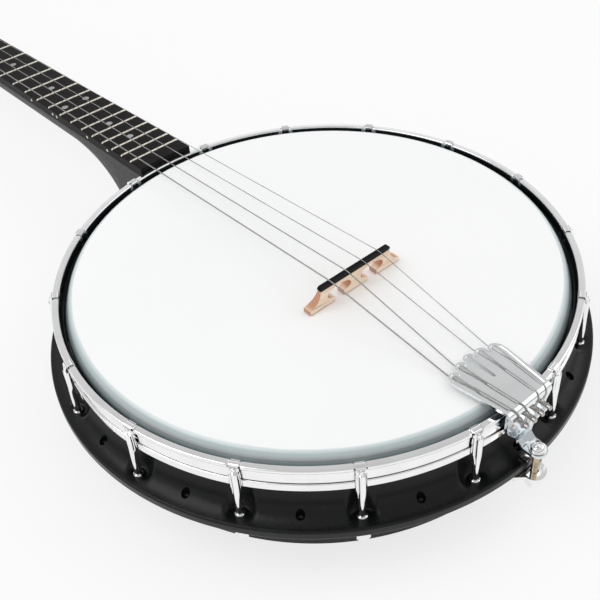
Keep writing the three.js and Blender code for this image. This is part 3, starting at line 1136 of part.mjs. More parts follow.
place(pot, 'heel_bolt', heelBolt(), MATERIALS.steel);
place(pot, 'heel_nut', hexNut(NUT_SEAT_Y - ROD.nutLength, NUT_SEAT_Y, HEEL_BOLT.z), MATERIALS.steel);
place(neckFrame, 'neck', neckPiece(), MATERIALS.neck);
place(neckFrame, 'fingerboard', fingerboard(), MATERIALS.board);
place(neckFrame, 'truss_rod', trussRod(), MATERIALS.steel);
place(neckFrame, 'nut', nutBlock(), MATERIALS.bone);
place(headFrame, 'headstock_overlay', headstockOverlay(), MATERIALS.ebony);
place(headFrame, 'truss_rod_cover', trussRodCover(), MATERIALS.ebony);

tunerPlaces().forEach(({ side, x, y }, i) => {
  const machine = new THREE.Group();
  machine.position.set(x, y, 0);
  headFrame.add(machine);
  const number = i + 1;
  place(machine, `tuner_housing_${number}`, tunerHousing(side), MATERIALS.chrome);
  place(machine, `tuner_bushing_${number}`, tunerBushing(), MATERIALS.chrome);
  place(machine, `string_post_${number}`, stringPost(), MATERIALS.chrome);
  const button = place(machine, `tuner_button_${number}`, tunerButton(side), MATERIALS.chrome);
  button.position.set(0, GEAR_MESH, WORM_Z);
});

for (let i = 0; i < STRING_COUNT; i += 1) {
  const points = stringPoints(i);
  const turns = Math.round(WINDING.turns * WINDING.stepsPerTurn) + 1;
  const gap = leastGap(points.slice(-turns), STRING_RADII[i]);
  console.log(`string_${i + 1}: least gap between turns ${gap.toFixed(2)} mm`);
  place(pot, `string_${i + 1}`, wire(points, STRING_RADII[i]), MATERIALS.string);
}

// The part's origin is the middle of its footprint on the surface that it lies on.
const bounds = new THREE.Box3().setFromObject(banjo, true);
pot.position.set(-(bounds.min.x + bounds.max.x) / 2, -(bounds.min.y + bounds.max.y) / 2, -bounds.min.z);

export default banjo;
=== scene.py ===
"""Tenor banjo with an open back, finished round its packed construction. Metres, +Z up."""
import math

import bmesh
import bpy
from mathutils import Matrix, Vector


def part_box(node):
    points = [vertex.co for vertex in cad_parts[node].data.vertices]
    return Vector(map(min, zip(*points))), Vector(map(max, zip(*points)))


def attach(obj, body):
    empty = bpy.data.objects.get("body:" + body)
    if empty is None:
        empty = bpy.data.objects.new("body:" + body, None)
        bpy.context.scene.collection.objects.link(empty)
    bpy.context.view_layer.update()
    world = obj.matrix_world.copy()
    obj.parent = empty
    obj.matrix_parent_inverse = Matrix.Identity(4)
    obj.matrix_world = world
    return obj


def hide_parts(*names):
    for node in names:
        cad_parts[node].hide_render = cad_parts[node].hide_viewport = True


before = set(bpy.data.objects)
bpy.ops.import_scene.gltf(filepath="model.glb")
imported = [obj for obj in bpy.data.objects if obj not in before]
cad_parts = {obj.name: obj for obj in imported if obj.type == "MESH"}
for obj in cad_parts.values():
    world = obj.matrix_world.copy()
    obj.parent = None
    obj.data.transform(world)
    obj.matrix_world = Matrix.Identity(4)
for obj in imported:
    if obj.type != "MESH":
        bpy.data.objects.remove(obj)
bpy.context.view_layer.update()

# Turns and counts
QUARTER_TURN = math.pi / 2
HALF_TURN = math.pi
FULL_TURN = math.pi * 2
HOOK_COUNT = 16
STRING_COUNT = 4
FRET_COUNT = 19
RING_SIDES = 384
SEAT_SIDES = 192
ROD_SIDES = 32
HEX_SIDES = 6
# How far a cutting tool stands past what it cuts, and how near two points count as one
OVER = 0.001
WELD = 0.00001

# Sizes that the construction gives
HOOP_LOW, HOOP_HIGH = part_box("tension_hoop")
FLESH_LOW, FLESH_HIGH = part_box("flesh_hoop")
RIM_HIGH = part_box("pot_rim")[1]
HEAD_LOW, HEAD_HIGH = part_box("drum_head")
PLATE_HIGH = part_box("tailpiece_plate")[1]
CAP_LOW, CAP_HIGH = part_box("bridge_cap")
BRIDGE_LOW, BRIDGE_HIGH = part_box("bridge_body")
ROD_LOW, ROD_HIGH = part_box("coordinator_rod")

POT_Y = (HOOP_LOW.y + HOOP_HIGH.y) / 2
GAP = 0.0003
LIP_OUTER_R = HOOP_HIGH.x
LIP_PROUD = 0.0008
HOOP_OUTER_R = LIP_OUTER_R - LIP_PROUD
HOOP_TOP = HOOP_HIGH.z
HOOP_BOTTOM = HOOP_LOW.z
LEDGE_TOP = HOOP_BOTTOM + 0.003
FLESH_OUTER_R = FLESH_HIGH.x
FLESH_TOP = FLESH_HIGH.z
FLESH_BOTTOM = FLESH_LOW.z
FLANGE_OUTER_R = RIM_HIGH.x
RIM_TOP = RIM_HIGH.z
COLLAR_R = HEAD_HIGH.x
COLLAR_FLARE = 0.0021
FILM_OUTER_R = COLLAR_R - COLLAR_FLARE
HEAD_TOP = HEAD_HIGH.z
FILM_THICKNESS = 0.0004
RIM_OUTER_R = FILM_OUTER_R - FILM_THICKNESS - GAP
RIM_WALL = 0.012
RIM_INNER_R = RIM_OUTER_R - RIM_WALL

# Frames: the pot, the neck and the headstock
NECK_TILT = math.radians(2.5)
NECK_PLANE = HOOP_TOP + 0.0097
HEAD_TILT = math.radians(10)
HEAD_STEP = 0.0034
BRIDGE_THICKNESS = 0.0056
FOOT_Y = BRIDGE_HIGH.y - POT_Y - BRIDGE_THICKNESS / 2
SCALE_START = FOOT_Y + 0.0011
SCALE_LENGTH = 0.5715
NUT_Y = SCALE_START + SCALE_LENGTH
NUT_THICKNESS = 0.005
POT = Matrix.Translation((0, POT_Y, 0))
NECK = POT @ Matrix.Translation((0, 0, NECK_PLANE)) @ Matrix.Rotation(-NECK_TILT, 4, "X")
HEAD_ROOT = NECK @ Matrix.Translation((0, NUT_Y + NUT_THICKNESS, -HEAD_STEP))
HEAD = HEAD_ROOT @ Matrix.Rotation(-HEAD_TILT, 4, "X")
# Turns that lay an outline's x and y along the frame's x and z, or its y and z
FRONT = Matrix(((1, 0, 0, 0), (0, 0, 1, 0), (0, 1, 0, 0), (0, 0, 0, 1)))
SIDE = Matrix(((0, 0, 1, 0), (1, 0, 0, 0), (0, 1, 0, 0), (0, 0, 0, 1)))
# Turns that lay a rod's Z along the frame's x, or its y
ACROSS = Matrix.Rotation(QUARTER_TURN, 4, "Y")
ALONG = Matrix.Rotation(-QUARTER_TURN, 4, "X")


def shift(x=0.0, y=0.0, z=0.0, base=POT):
    """A frame moved to a point of base."""
    return base @ Matrix.Translation((x, y, z))


def along(x=0.0, y=0.0, z=0.0, base=POT):
    """A frame at a point of base, whose Z runs along base's Y."""
    return shift(x, y, z, base) @ ALONG


def hook_angle(i):
    """The turn about Z from +Y to hook i. The neck and the tail lie midway between hooks."""
    return (i + 0.5) * FULL_TURN / HOOK_COUNT


# Camera, light and floor
CAMERA_FROM_POT = Vector((-0.261271, -0.319021, 0.408210))
CAMERA_TURNS = (("Z", -37.9084), ("X", 48.3995), ("Z", -4.7454))
LENS = 56.454
SENSOR = 36
NEAR_CLIP = 0.02
FLOOR_HALF = 3.0
FLOOR_Z = -0.0001
FLOOR_PALE = 0.95
FLOOR_GLOW = 0.75
WORLD_LEVEL = 0.72
WORLD_BANDS = ((0.0, 1.0), (0.1, 1.0), (0.18, 0.9), (0.24, 0.25), (0.36, 0.2), (0.44, 1.0), (0.5, 0.95),
               (0.58, 0.74), (0.72, 0.64), (0.98, 0.55))


def camera():
    data = bpy.data.cameras.new("camera")
    data.sensor_fit = "HORIZONTAL"
    data.sensor_width = SENSOR
    data.lens = LENS
    data.clip_start = NEAR_CLIP
    item = bpy.data.objects.new("camera", data)
    place = Matrix.Translation(CAMERA_FROM_POT + Vector((0, POT_Y, 0)))
    for axis, degrees in CAMERA_TURNS:
        place = place @ Matrix.Rotation(math.radians(degrees), 4, axis)
    item.matrix_world = place
    bpy.context.scene.collection.objects.link(item)
    bpy.context.scene.camera = item


def softbox(name, place, aim, size, power):
    """A square area lamp that faces aim."""
    data = bpy.data.lights.new(name, "AREA")
    data.shape = "SQUARE"
    data.size = size
    data.energy = power
    item = bpy.data.objects.new(name, data)
    item.location = place
    item.rotation_euler = (Vector(aim) - Vector(place)).to_track_quat("-Z", "Y").to_euler()
    bpy.context.scene.collection.objects.link(item)


def mix_shaders(tree, share, low, high):
    """A shader that goes from low to high as share goes from 0 to 1."""
    item = tree.nodes.new("ShaderNodeMixShader")
    for socket, source in zip(item.inputs, (share, low.outputs[0], high.outputs[0])):
        tree.links.new(source, socket)
    return item


def studio_world():
    """White to the camera, even for soft light, and banded like a studio for reflections."""
    world = bpy.data.worlds.new("studio")
    bpy.context.scene.world = world
    world.use_nodes = True
    tree = world.node_tree
    nodes, links = tree.nodes, tree.links
    nodes.clear()
    even, white, banded = (nodes.new("ShaderNodeBackground") for _ in range(3))
    even.inputs["Strength"].default_value = WORLD_LEVEL
    for item in (even, white):
        item.inputs["Color"].default_value = (1, 1, 1, 1)
    split = nodes.new("ShaderNodeSeparateXYZ")
    links.new(nodes.new("ShaderNodeTexCoord").outputs["Generated"], split.inputs[0])
    ramp = nodes.new("ShaderNodeValToRGB")
    links.new(split.outputs["Z"], ramp.inputs[0])
    stops = ramp.color_ramp.elements
    for position, level in WORLD_BANDS:
        stop = stops[0] if position == WORLD_BANDS[0][0] else stops.new(position)
        stop.position = position
        stop.color = (level, level, level, 1)
    stops.remove(stops[-1])
    links.new(ramp.outputs["Color"], banded.inputs["Color"])
    rays = nodes.new("ShaderNodeLightPath").outputs
    reflected = mix_shaders(tree, rays["Is Glossy Ray"], even, banded)
    seen = mix_shaders(tree, rays["Is Camera Ray"], reflected, white)
    links.new(seen.outputs[0], nodes.new("ShaderNodeOutputWorld").inputs[0])


def floor():
    """Pale and even. To the camera it glows a little, so that the object's shadow on it is light."""
    corners = [(x * FLOOR_HALF, y * FLOOR_HALF, FLOOR_Z) for x, y in ((-1, -1), (1, -1), (1, 1), (-1, 1))]
    mesh = bpy.data.meshes.new("floor")
    mesh.from_pydata(corners, [], [(0, 1, 2, 3)])
    item = link("floor", mesh)
    paint = Paint("floor", Roughness=0.9, Base_Color=(FLOOR_PALE, FLOOR_PALE, FLOOR_PALE, 1))
    glow = paint.nodes.new("ShaderNodeEmission")
    rays = paint.nodes.new("ShaderNodeLightPath").outputs
    mirrored = paint.calc("MAXIMUM", rays["Is Glossy Ray"], rays["Is Transmission Ray"])
    direct = paint.calc("MAXIMUM", rays["Is Camera Ray"], mirrored)
    share = paint.calc("MULTIPLY", direct, FLOOR_GLOW)
    seen = mix_shaders(paint.material.node_tree, share, paint.shader, glow)
    paint.links.new(seen.outputs[0], paint.nodes["Material Output"].inputs["Surface"])
    item.data.materials.append(paint.material)


# Materials
class Paint:
    """A material under construction: one shader, and the textures in metres that feed it."""

    def __init__(self, name, **values):
        self.material = bpy.data.materials.new(name)
        self.material.use_nodes = True
        self.nodes = self.material.node_tree.nodes
        self.links = self.material.node_tree.links
        self.shader = self.nodes["Principled BSDF"]
        for socket, value in values.items():
            self.shader.inputs[socket.replace("_", " ")].default_value = value
        self.place = self.nodes.new("ShaderNodeTexCoord").outputs["Object"]
        self.normal = None

    def feed(self, socket, source):
        self.links.new(source, self.shader.inputs[socket])

    def node(self, kind, *sources, **settings):
        """A node whose first inputs are fed or set by sources. Its first output is returned."""
        item = self.nodes.new(kind)
        for key, value in settings.items():
            setattr(item, key, value)
        for socket, source in zip(item.inputs, sources):
            if isinstance(source, bpy.types.NodeSocket):
                self.links.new(source, socket)
            elif source is not None:
                socket.default_value = source
        return item.outputs[0]

    def stretched(self, x, y, z):
        """The place with each axis scaled, for grain and brushing that run one way."""
        return self.node("ShaderNodeVectorMath", self.place, (x, y, z), operation="MULTIPLY")

    def noise(self, scale, detail=2.0, rough=0.5, place=None):
        return self.node("ShaderNodeTexNoise", place or self.place, None, scale, detail, rough)

    def calc(self, operation, a, b=None):
        return self.node("ShaderNodeMath", a, b, operation=operation)

    def spread(self, source, low, high, from_low=0.3, from_high=0.7):
        """source's range from_low to from_high, stretched to low to high and held there."""
        return self.node("ShaderNodeMapRange", source, from_low, from_high, low, high)

    def shaded(self, source, colour, dull, low, high):
        """The colour, darkened by dull where source is low."""
        dark = tuple(channel * dull for channel in colour)
        return self.ramp(source, (low, dark), (high, colour))

    def ramp(self, source, *stops):
        item = self.nodes.new("ShaderNodeValToRGB")
        self.links.new(source, item.inputs[0])
        elements = item.color_ramp.elements
        while len(elements) < len(stops):
            elements.new(0.5)
        for element, (position, colour) in zip(elements, stops):
            element.position = position
            element.color = (*colour, 1)
        return item.outputs["Color"]

    def blend(self, share, a, b):
        """The colour a where share is 0, and b where it is 1."""
        item = self.nodes.new("ShaderNodeMix")
        item.data_type = "RGBA"
        self.links.new(share, item.inputs["Factor"])
        targets = [socket for socket in item.inputs if socket.type == "RGBA"]
        for source, target in zip((a, b), targets):
            if isinstance(source, bpy.types.NodeSocket):
                self.links.new(source, target)
            else:
                target.default_value = (*source, 1)
        return next(socket for socket in item.outputs if socket.type == "RGBA")

    def bump(self, height, depth):
        """Relief of the given depth in metres, on top of what was there before."""
        item = self.nodes.new("ShaderNodeBump")
        item.inputs["Distance"].default_value = depth
        self.links.new(height, item.inputs["Height"])
        if self.normal:
            self.links.new(self.normal, item.inputs["Normal"])
        self.normal = item.outputs[0]
        self.feed("Normal", self.normal)

    def pot_radius(self):
        """Distance from the pot's axis."""
        centred = self.node("ShaderNodeVectorMath", self.place, (0, POT_Y, 0), operation="SUBTRACT")
        flat = self.node("ShaderNodeVectorMath", centred, (1, 1, 0), operation="MULTIPLY")
        item = self.nodes.new("ShaderNodeVectorMath")
        item.operation = "LENGTH"
        self.links.new(flat, item.inputs[0])
        return item.outputs["Value"]

    def part(self, letter, vector=None):
        """One of a vector's X, Y and Z. The vector is the place unless one is given."""
        item = self.nodes.new("ShaderNodeSeparateXYZ")
        self.links.new(vector or self.place, item.inputs[0])
        return item.outputs[letter]

    def look(self, colour, rough, *relief):
        """The finished material, from its colour, its roughness and each height with its depth."""
        self.feed("Base Color", colour)
        self.feed("Roughness", rough)
        for height, depth in relief:
            self.bump(height, depth)
        return self.material


def composite_paint():
    """Black satin moulding: fine grain, faint clouds of polish and a little dust."""
    paint = Paint("composite_black", Specular_IOR_Level=0.24)
    base = paint.ramp(paint.noise(45, 3), (0.3, (0.0035, 0.0038, 0.0042)), (0.7, (0.006, 0.0065, 0.007)))
    speck = paint.spread(paint.noise(900, 1), 0.0, 0.35, 0.7, 0.8)
    return paint.look(paint.blend(speck, base, (0.03, 0.031, 0.032)),
                      paint.spread(paint.noise(120, 4), 0.24, 0.32),
                      (paint.noise(2600, 3), 0.00003), (paint.noise(160, 2), 0.00008))


COAT_EDGE = 0.1366
COAT_FADE = 0.0004


def film_paint():
    """Frosted film: a sprayed white coat that stops short of the edge, over clear film on a black rim. The
    bare film's colour is ramped by height, with a painted highlight band across the rolled edge and painted
    shade down towards the ledge.
    """
    paint = Paint("frosted_film")
    wander = paint.spread(paint.noise(40, 2), -0.0002, 0.0002)
    edge = paint.calc("ADD", paint.pot_radius(), wander)
    bare = paint.spread(edge, 0.0, 1.0, COAT_EDGE - COAT_FADE, COAT_EDGE + COAT_FADE)
    cloud = paint.ramp(paint.noise(9, 2), (0.3, (0.955, 0.962, 0.964)), (0.7, (0.975, 0.98, 0.98)))
    rolled = paint.spread(paint.part("Z"), 0.0, 1.0, LEDGE_TOP, HEAD_TOP)
    # Painted highlight and shade over the clear film's own teal-grey tone: near black at the ledge, and a
    # bright band a little above the middle of the roll
    clear = paint.ramp(rolled, (0.0, (0.012, 0.015, 0.016)), (0.16, (0.1, 0.13, 0.135)),
                       (0.36, (0.42, 0.5, 0.51)), (0.5, (0.72, 0.78, 0.785)), (0.58, (0.86, 0.9, 0.9)),
                       (0.66, (0.66, 0.73, 0.74)), (0.86, (0.5, 0.58, 0.59)), (1.0, (0.74, 0.8, 0.805)))
    return paint.look(paint.blend(bare, cloud, clear), paint.spread(bare, 0.5, 0.14, 0.0, 1.0),
                      (paint.noise(2400, 3), 0.00002), (paint.noise(70, 2), 0.00005))


def plated_paint(name, colour, rough, wave=0.00004):
    """Bright plating: clouded polish, faint rubbed lines and the slight waviness of what lies under it."""
    paint = Paint(name, Metallic=1.0)
    rubbed = paint.noise(60, 2, place=paint.stretched(40, 8, 40))
    return paint.look(paint.shaded(paint.noise(90, 3), colour, 0.94, 0.3, 0.65),
                      paint.spread(rubbed, rough * 0.7, rough * 1.5),
                      (paint.noise(240, 2), wave), (paint.noise(3000, 2), wave / 40))


def turned_paint(name, colour, rough, scales):
    """Machined metal: fine lathe rings across its longest scale, and darker stains."""
    paint = Paint(name, Metallic=1.0)
    rings = paint.noise(3, 3, place=paint.stretched(*scales))
    return paint.look(paint.shaded(paint.noise(110, 4), colour, 0.62, 0.28, 0.55),
                      paint.spread(rings, rough * 0.75, rough * 1.35), (rings, 0.00002))


def maple_paint():
    """Bare maple: straight pale grain with short brown flecks, reddish where a cut shows end grain. Faces
    that look downward, such as the arches' tops, take the same dark reddish colour as painted shade.
    """
    paint = Paint("maple", Specular_IOR_Level=0.35)
    lines = paint.noise(24, 4, 0.6, paint.stretched(0.6, 14, 16))
    flecks = paint.noise(60, 2, place=paint.stretched(2.2, 22, 22))
    pores = paint.noise(2600, 2)
    grain = paint.ramp(lines, (0.3, (0.84, 0.62, 0.45)), (0.5, (0.92, 0.75, 0.58)),
                       (0.72, (0.95, 0.83, 0.68)))
    flecked = paint.blend(paint.spread(flecks, 0.5, 0.0, 0.3, 0.4), grain, (0.5, 0.29, 0.16))
    # Dark reddish end grain, also used as painted shade on faces that look downward
    ends = paint.ramp(pores, (0.35, (0.42, 0.17, 0.085)), (0.6, (0.62, 0.29, 0.165)))
    facing = paint.nodes.new("ShaderNodeNewGeometry").outputs["True Normal"]
    sideways = paint.calc("ABSOLUTE", paint.part("X", facing))
    # Sideways faces show the real end grain; faces that look down are darkened as painted shade under the
    # arches
    under = paint.calc("MULTIPLY", paint.part("Z", facing), -1.0)
    end_grain_and_painted_shade = paint.spread(paint.calc("MAXIMUM", sideways, under), 0.0, 1.0, 0.2, 0.5)
    return paint.look(paint.blend(paint.calc("MULTIPLY", end_grain_and_painted_shade, 0.9), flecked, ends),
                      paint.spread(lines, 0.5, 0.66), (lines, 0.00006), (pores, 0.00002))


def dark_wood_paint(name, dark, light, rough, streaks):
    """A dense black timber with fine streaks and open pores along the neck."""
    paint = Paint(name, Specular_IOR_Level=0.1)
    bands = paint.noise(9, 4, 0.6, paint.stretched(streaks, 1.2, streaks))
    pores = paint.noise(50, 2, place=paint.stretched(34, 2.2, 34))
    base = paint.ramp(bands, (0.34, dark), (0.7, light))
    filled = paint.spread(pores, 0.7, 0.0, 0.3, 0.38)
    return paint.look(paint.blend(filled, base, (0.004, 0.004, 0.004)),
                      paint.spread(bands, rough * 0.85, rough * 1.15), (pores, 0.00006), (bands, 0.00003))


def lacquer_paint():
    """Dark satin lacquer over timber: soft sheen, faint grain and a fine spray texture."""
    paint = Paint("satin_lacquer", Specular_IOR_Level=0.42)
    grain = paint.noise(7, 4, 0.6, paint.stretched(22, 1.1, 22))
    return paint.look(paint.ramp(grain, (0.3, (0.017, 0.0175, 0.0185)), (0.7, (0.026, 0.0265, 0.0275))),
                      paint.spread(paint.noise(260, 3), 0.44, 0.54),
                      (paint.noise(1900, 2), 0.00002), (grain, 0.00004))


def bone_paint():
    """Old bone: warm white with soft veins across the neck."""
    paint = Paint("bone", Subsurface_Weight=0.12, Subsurface_Scale=0.001)
    veins = paint.noise(90, 4, 0.6, paint.stretched(1, 5, 5))
    return paint.look(paint.ramp(veins, (0.3, (0.66, 0.6, 0.47)), (0.6, (0.8, 0.76, 0.65))),
                      paint.spread(veins, 0.34, 0.5), (paint.noise(1500, 2), 0.00002))


def pearl_paint():
    """Mother of pearl: pale clouds that shift between grey, green and pink."""
    paint = Paint("pearl", Coat_Weight=0.6, Coat_Roughness=0.12)
    clouds = paint.noise(520, 3, 0.6)
    colour = paint.ramp(clouds, (0.3, (0.2, 0.235, 0.235)), (0.48, (0.36, 0.365, 0.36)),
                        (0.62, (0.3, 0.35, 0.33)), (0.75, (0.45, 0.42, 0.42)))
    return paint.look(colour, paint.spread(clouds, 0.2, 0.4))


def wire_paint(name, colour, pitch):
    """String wire. A wrapped string shows its wrap as rings of the given pitch along its run."""
    paint = Paint(name, Metallic=1.0)
    run = paint.nodes.new("ShaderNodeAttribute")
    run.attribute_name = "run"
    tarnish = paint.noise(300, 3)
    wrap = paint.calc("SINE", paint.calc("MULTIPLY", run.outputs["Fac"], FULL_TURN / pitch))
    return paint.look(paint.shaded(tarnish, colour, 0.88, 0.3, 0.6), paint.spread(tarnish, 0.28, 0.36),
                      (wrap, pitch / 24))


# Mesh code
def link(name, mesh):
    piece = bpy.data.objects.new(name, mesh)
    bpy.context.scene.collection.objects.link(piece)
    return piece


def rework(mesh, change):
    """Lets change edit the mesh in its editable form."""
    work = bmesh.new()
    work.from_mesh(mesh)
    change(work)
    work.to_mesh(mesh)
    work.free()


def shape(name, points, faces, place):
    """A mesh object from points in place's frame, with its faces turned outwards."""
    mesh = bpy.data.meshes.new(name)
    mesh.from_pydata([place @ Vector(point) for point in points], [], faces)
    rework(mesh, lambda work: bmesh.ops.recalc_face_normals(work, faces=work.faces))
    return link(name, mesh)


def arc(x, y, radius_x, radius_y, start, end, steps):
    """Points on an ellipse, both ends included."""
    angles = [start + (end - start) * i / steps for i in range(steps + 1)]
    return [(x + radius_x * math.cos(a), y + radius_y * math.sin(a)) for a in angles]


def softened(corners, radius, steps=4):
    """An outline with each of its corners turned into a small arc, no longer than its sides allow."""
    soft = []
    side_share = 0.45
    for i, corner in enumerate(corners):
        here = Vector(corner)
        before = Vector(corners[i - 1]) - here
        after = Vector(corners[(i + 1) % len(corners)]) - here
        reach = min(radius, before.length * side_share, after.length * side_share)
        start = here + before.normalized() * reach
        end = here + after.normalized() * reach
        for share in (k / steps for k in range(steps + 1)):
            soft.append(tuple(start.lerp(here, share).lerp(here.lerp(end, share), share)))
    return soft


def held(value):
    """The value, held between 0 and 1."""
    return min(1.0, max(0.0, value))


def mirrored(half):
    """An outline from its one half and the mirror image of that in x."""
    return half + [(-x, y) for x, y in reversed(half)]


def string_x(i, spacing):
    """Where string i crosses a part that spaces its strings evenly."""
    return (i - (STRING_COUNT - 1) / 2) * spacing


def catmull(points, steps):
    """An even curve through points: each stretch is shaped by its neighbours."""
    smooth_points = []
    last = len(points) - 1
    for k in range(steps + 1):
        at = last * k / steps
        i = min(int(at), last - 1)
        t = at - i
        p0, p1, p2, p3 = (Vector(points[max(0, min(last, n))]) for n in (i - 1, i, i + 1, i + 2))
        v0 = (p2 - p0) / 2
        v1 = (p3 - p1) / 2
        smooth_points.append(tuple((2 * p1 - 2 * p2 + v0 + v1) * t ** 3
                                   + (3 * p2 - 3 * p1 - 2 * v0 - v1) * t ** 2 + v0 * t + p1))
    return smooth_points


def turned(name, profile, sides, place, start=0.0, sweep=FULL_TURN):
    """A round solid or ring about Z from (radius, z) corners. Angles run from +Y towards -X."""
    whole = sweep == FULL_TURN
    count = sides if whole else sides + 1
    points, rows = [], []
    for radius, z in profile:
        if radius == 0:
            rows.append([len(points)] * count)
            points.append((0, 0, z))
            continue
        rows.append(list(range(len(points), len(points) + count)))
        for i in range(count):
            angle = start + sweep * i / sides
            points.append((-radius * math.sin(angle), radius * math.cos(angle), z))
    if profile[0][0] > 0:
        rows.append(rows[0])
    faces = []
    for low, high in zip(rows, rows[1:]):
        for i in range(sides):
            j = (i + 1) % count
            face = list(dict.fromkeys((low[i], low[j], high[j], high[i])))
            if len(face) > 2:
                faces.append(face)
    if not whole:
        open_rows = rows[:-1] if profile[0][0] > 0 else rows
        faces += [[row[0] for row in open_rows], [row[-1] for row in open_rows]]
    return shape(name, points, faces, place)


def loft(name, rings, place):
    """A solid through rings of equal corner counts, closed by a flat face at each end."""
    count = len(rings[0])
    points = [point for ring in rings for point in ring]
    faces = [list(range(count)), list(range(len(points) - count, len(points)))]
    for r in range(len(rings) - 1):
        for i in range(count):
            j = (i + 1) % count
            low, high = r * count, (r + 1) * count
            faces.append([low + i, low + j, high + j, high + i])
    return shape(name, points, faces, place)


def plate(name, outline, low, high, place):
    """A flat piece: its outline in x and y, from z = low to z = high."""
    return loft(name, [[(x, y, z) for x, y in outline] for z in (low, high)], place)


def box(name, low, high, place):
    corners = [(low[0], low[1]), (high[0], low[1]), (high[0], high[1]), (low[0], high[1])]
    return plate(name, corners, low[2], high[2], place)


def rod(name, radius, low, high, place, sides=ROD_SIDES):
    """A cylinder along the place's own Z."""
    return turned(name, [(0, low), (radius, low), (radius, high), (0, high)], sides, place)


def tube(name, path, radius, sides, place):
    """A round wire along path. Its points remember how far along the wire they are, as run."""
    path = [Vector(point) for point in path]
    heads = [(b - a).normalized() for a, b in zip(path, path[1:])]
    side = heads[0].orthogonal().normalized()
    rings, runs, run = [], [], 0.0
    for i, point in enumerate(path):
        before, after = heads[max(i - 1, 0)], heads[min(i, len(heads) - 1)]
        heading = (before + after).normalized()
        side = (side - heading * side.dot(heading)).normalized()
        other = heading.cross(side)
        run += (point - path[i - 1]).length if i else 0
        runs.append(run)
        angles = [FULL_TURN * k / sides for k in range(sides)]
        rings.append([point + (side * math.cos(a) + other * math.sin(a)) * radius for a in angles])
    piece = loft(name, rings, place)
    attribute = piece.data.attributes.new("run", "FLOAT", "POINT")
    attribute.data.foreach_set("value", [run for run in runs for _ in range(sides)])
    return piece


def settle(piece):
    """Makes the modifiers part of the mesh."""
    bpy.context.view_layer.update()
    graph = bpy.context.evaluated_depsgraph_get()
    seen = piece.evaluated_get(graph)
    mesh = bpy.data.meshes.new_from_object(seen, preserve_all_data_layers=True, depsgraph=graph)
    piece.modifiers.clear()
    piece.data = mesh
    return piece


def combine(piece, operation, *tools):
    """Joins, cuts or trims a piece by tools, which are used up."""
    group = bpy.data.collections.new("tools")
    for tool in tools:
        group.objects.link(tool)
    modifier = piece.modifiers.new("combine", "BOOLEAN")
    modifier.operation = operation
    modifier.solver = "EXACT"
    modifier.operand_type = "COLLECTION"
    modifier.collection = group
    settle(piece)
    for tool in tools:
        bpy.data.objects.remove(tool)
    bpy.data.collections.remove(group)
    return piece


def join(piece, *tools):
    return combine(piece, "UNION", *tools)


def cut(piece, *tools):
    return combine(piece, "DIFFERENCE", *tools)


def trim(piece, tool):
    return combine(piece, "INTERSECT", tool)


def cut_cross(head, arm, wide, low, high, place):
    """Cuts the cross for a driver into a screw's head."""
    return cut(head, box("cross", (-arm, -wide, low), (arm, wide, high), place),
               box("cross", (-wide, -arm, low), (wide, arm, high), place))


def merge(name, *pieces):
    """Separate solids in one mesh, such as the frets of a board."""
    work = bmesh.new()
    for piece in pieces:
        work.from_mesh(piece.data)
        bpy.data.objects.remove(piece)
    mesh = bpy.data.meshes.new(name)
    work.to_mesh(mesh)
    work.free()
    return link(name, mesh)


def rounded(piece, width, segments=2, degrees=30):
    """Takes the edge off every corner sharper than degrees."""
    bevel = piece.modifiers.new("edges", "BEVEL")
    bevel.width = width
    bevel.segments = segments
    bevel.limit_method = "ANGLE"
    bevel.angle_limit = math.radians(degrees)
    return settle(piece)


def repeated(piece, count):
    """Copies a sector round the pot's axis and welds the copies."""
    work = bmesh.new()
    for i in range(count):
        mesh = piece.data.copy()
        mesh.transform(POT @ Matrix.Rotation(FULL_TURN * i / count, 4, "Z") @ POT.inverted())
        work.from_mesh(mesh)
    bmesh.ops.remove_doubles(work, verts=work.verts, dist=WELD)
    work.to_mesh(piece.data)
    work.free()
    return piece


def open_ends(piece, start, end):
    """Deletes the two flat faces that closed a sector at the turns start and end about the pot's axis."""
    walls = [Vector((math.cos(angle), math.sin(angle), 0)) for angle in (start, end)]
    centre = Vector((0, POT_Y, 0))

    def remove(work):
        ends = [face for face in work.faces if any(
            all(abs((vert.co - centre).dot(wall)) < WELD for vert in face.verts) for wall in walls)]
        bmesh.ops.delete(work, geom=ends, context="FACES")

    rework(piece.data, remove)
    return piece


def dress(piece, material, slot, *nodes, body="banjo", degrees=35):
    """Smooth shading, its finish, the body it rides on and the construction nodes it stands for."""
    mesh = piece.data
    mesh.validate()
    mesh.polygons.foreach_set("use_smooth", [True] * len(mesh.polygons))
    mesh.set_sharp_from_angle(angle=math.radians(degrees))
    piece.modifiers.new("normals", "WEIGHTED_NORMAL").keep_sharp = True
    settle(piece)
    piece.data.materials.clear()
    piece.data.materials.append(material)
    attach(piece, body)
    if nodes:
        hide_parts(*nodes)
    return piece


# Rim and flange
FLANGE_TOP = 0.0352
FLANGE_BOTTOM = 0.0296
COVE_OUTER_R = FLANGE_OUTER_R - 0.0008
COVE_INNER_R = RIM_OUTER_R + RIM_WALL / 8
COVE_TOP = FLESH_BOTTOM - 0.0009
COVE_BOTTOM = FLANGE_TOP + GAP / 2
COVE_STEPS = 28
EDGE_R = 0.0012
HOOK_CIRCLE_R = FLESH_OUTER_R + GAP + 0.00145
CHANNEL_R = 0.0092
CHANNEL_FLOOR_R = 0.0042
RIM_SIDES = 84
HOOK_HOLE_R = 0.0021
DIMPLE_R = 0.0023
DIMPLE_DEPTH = 0.003
DIMPLE_CIRCLE_R = FLANGE_OUTER_R - 0.0084
DIMPLE_SIDES = 28
RIM_FOOT = 0.0008
RIM_MARGIN = 0.0001
SAME_HEIGHT = 0.00005
CROWN_R = 0.0045
STUD_HOLE_R = 0.0033
ROD_Z = 0.016
HEEL_BOLT_Z = 0.044
TONGUE_X = -0.002
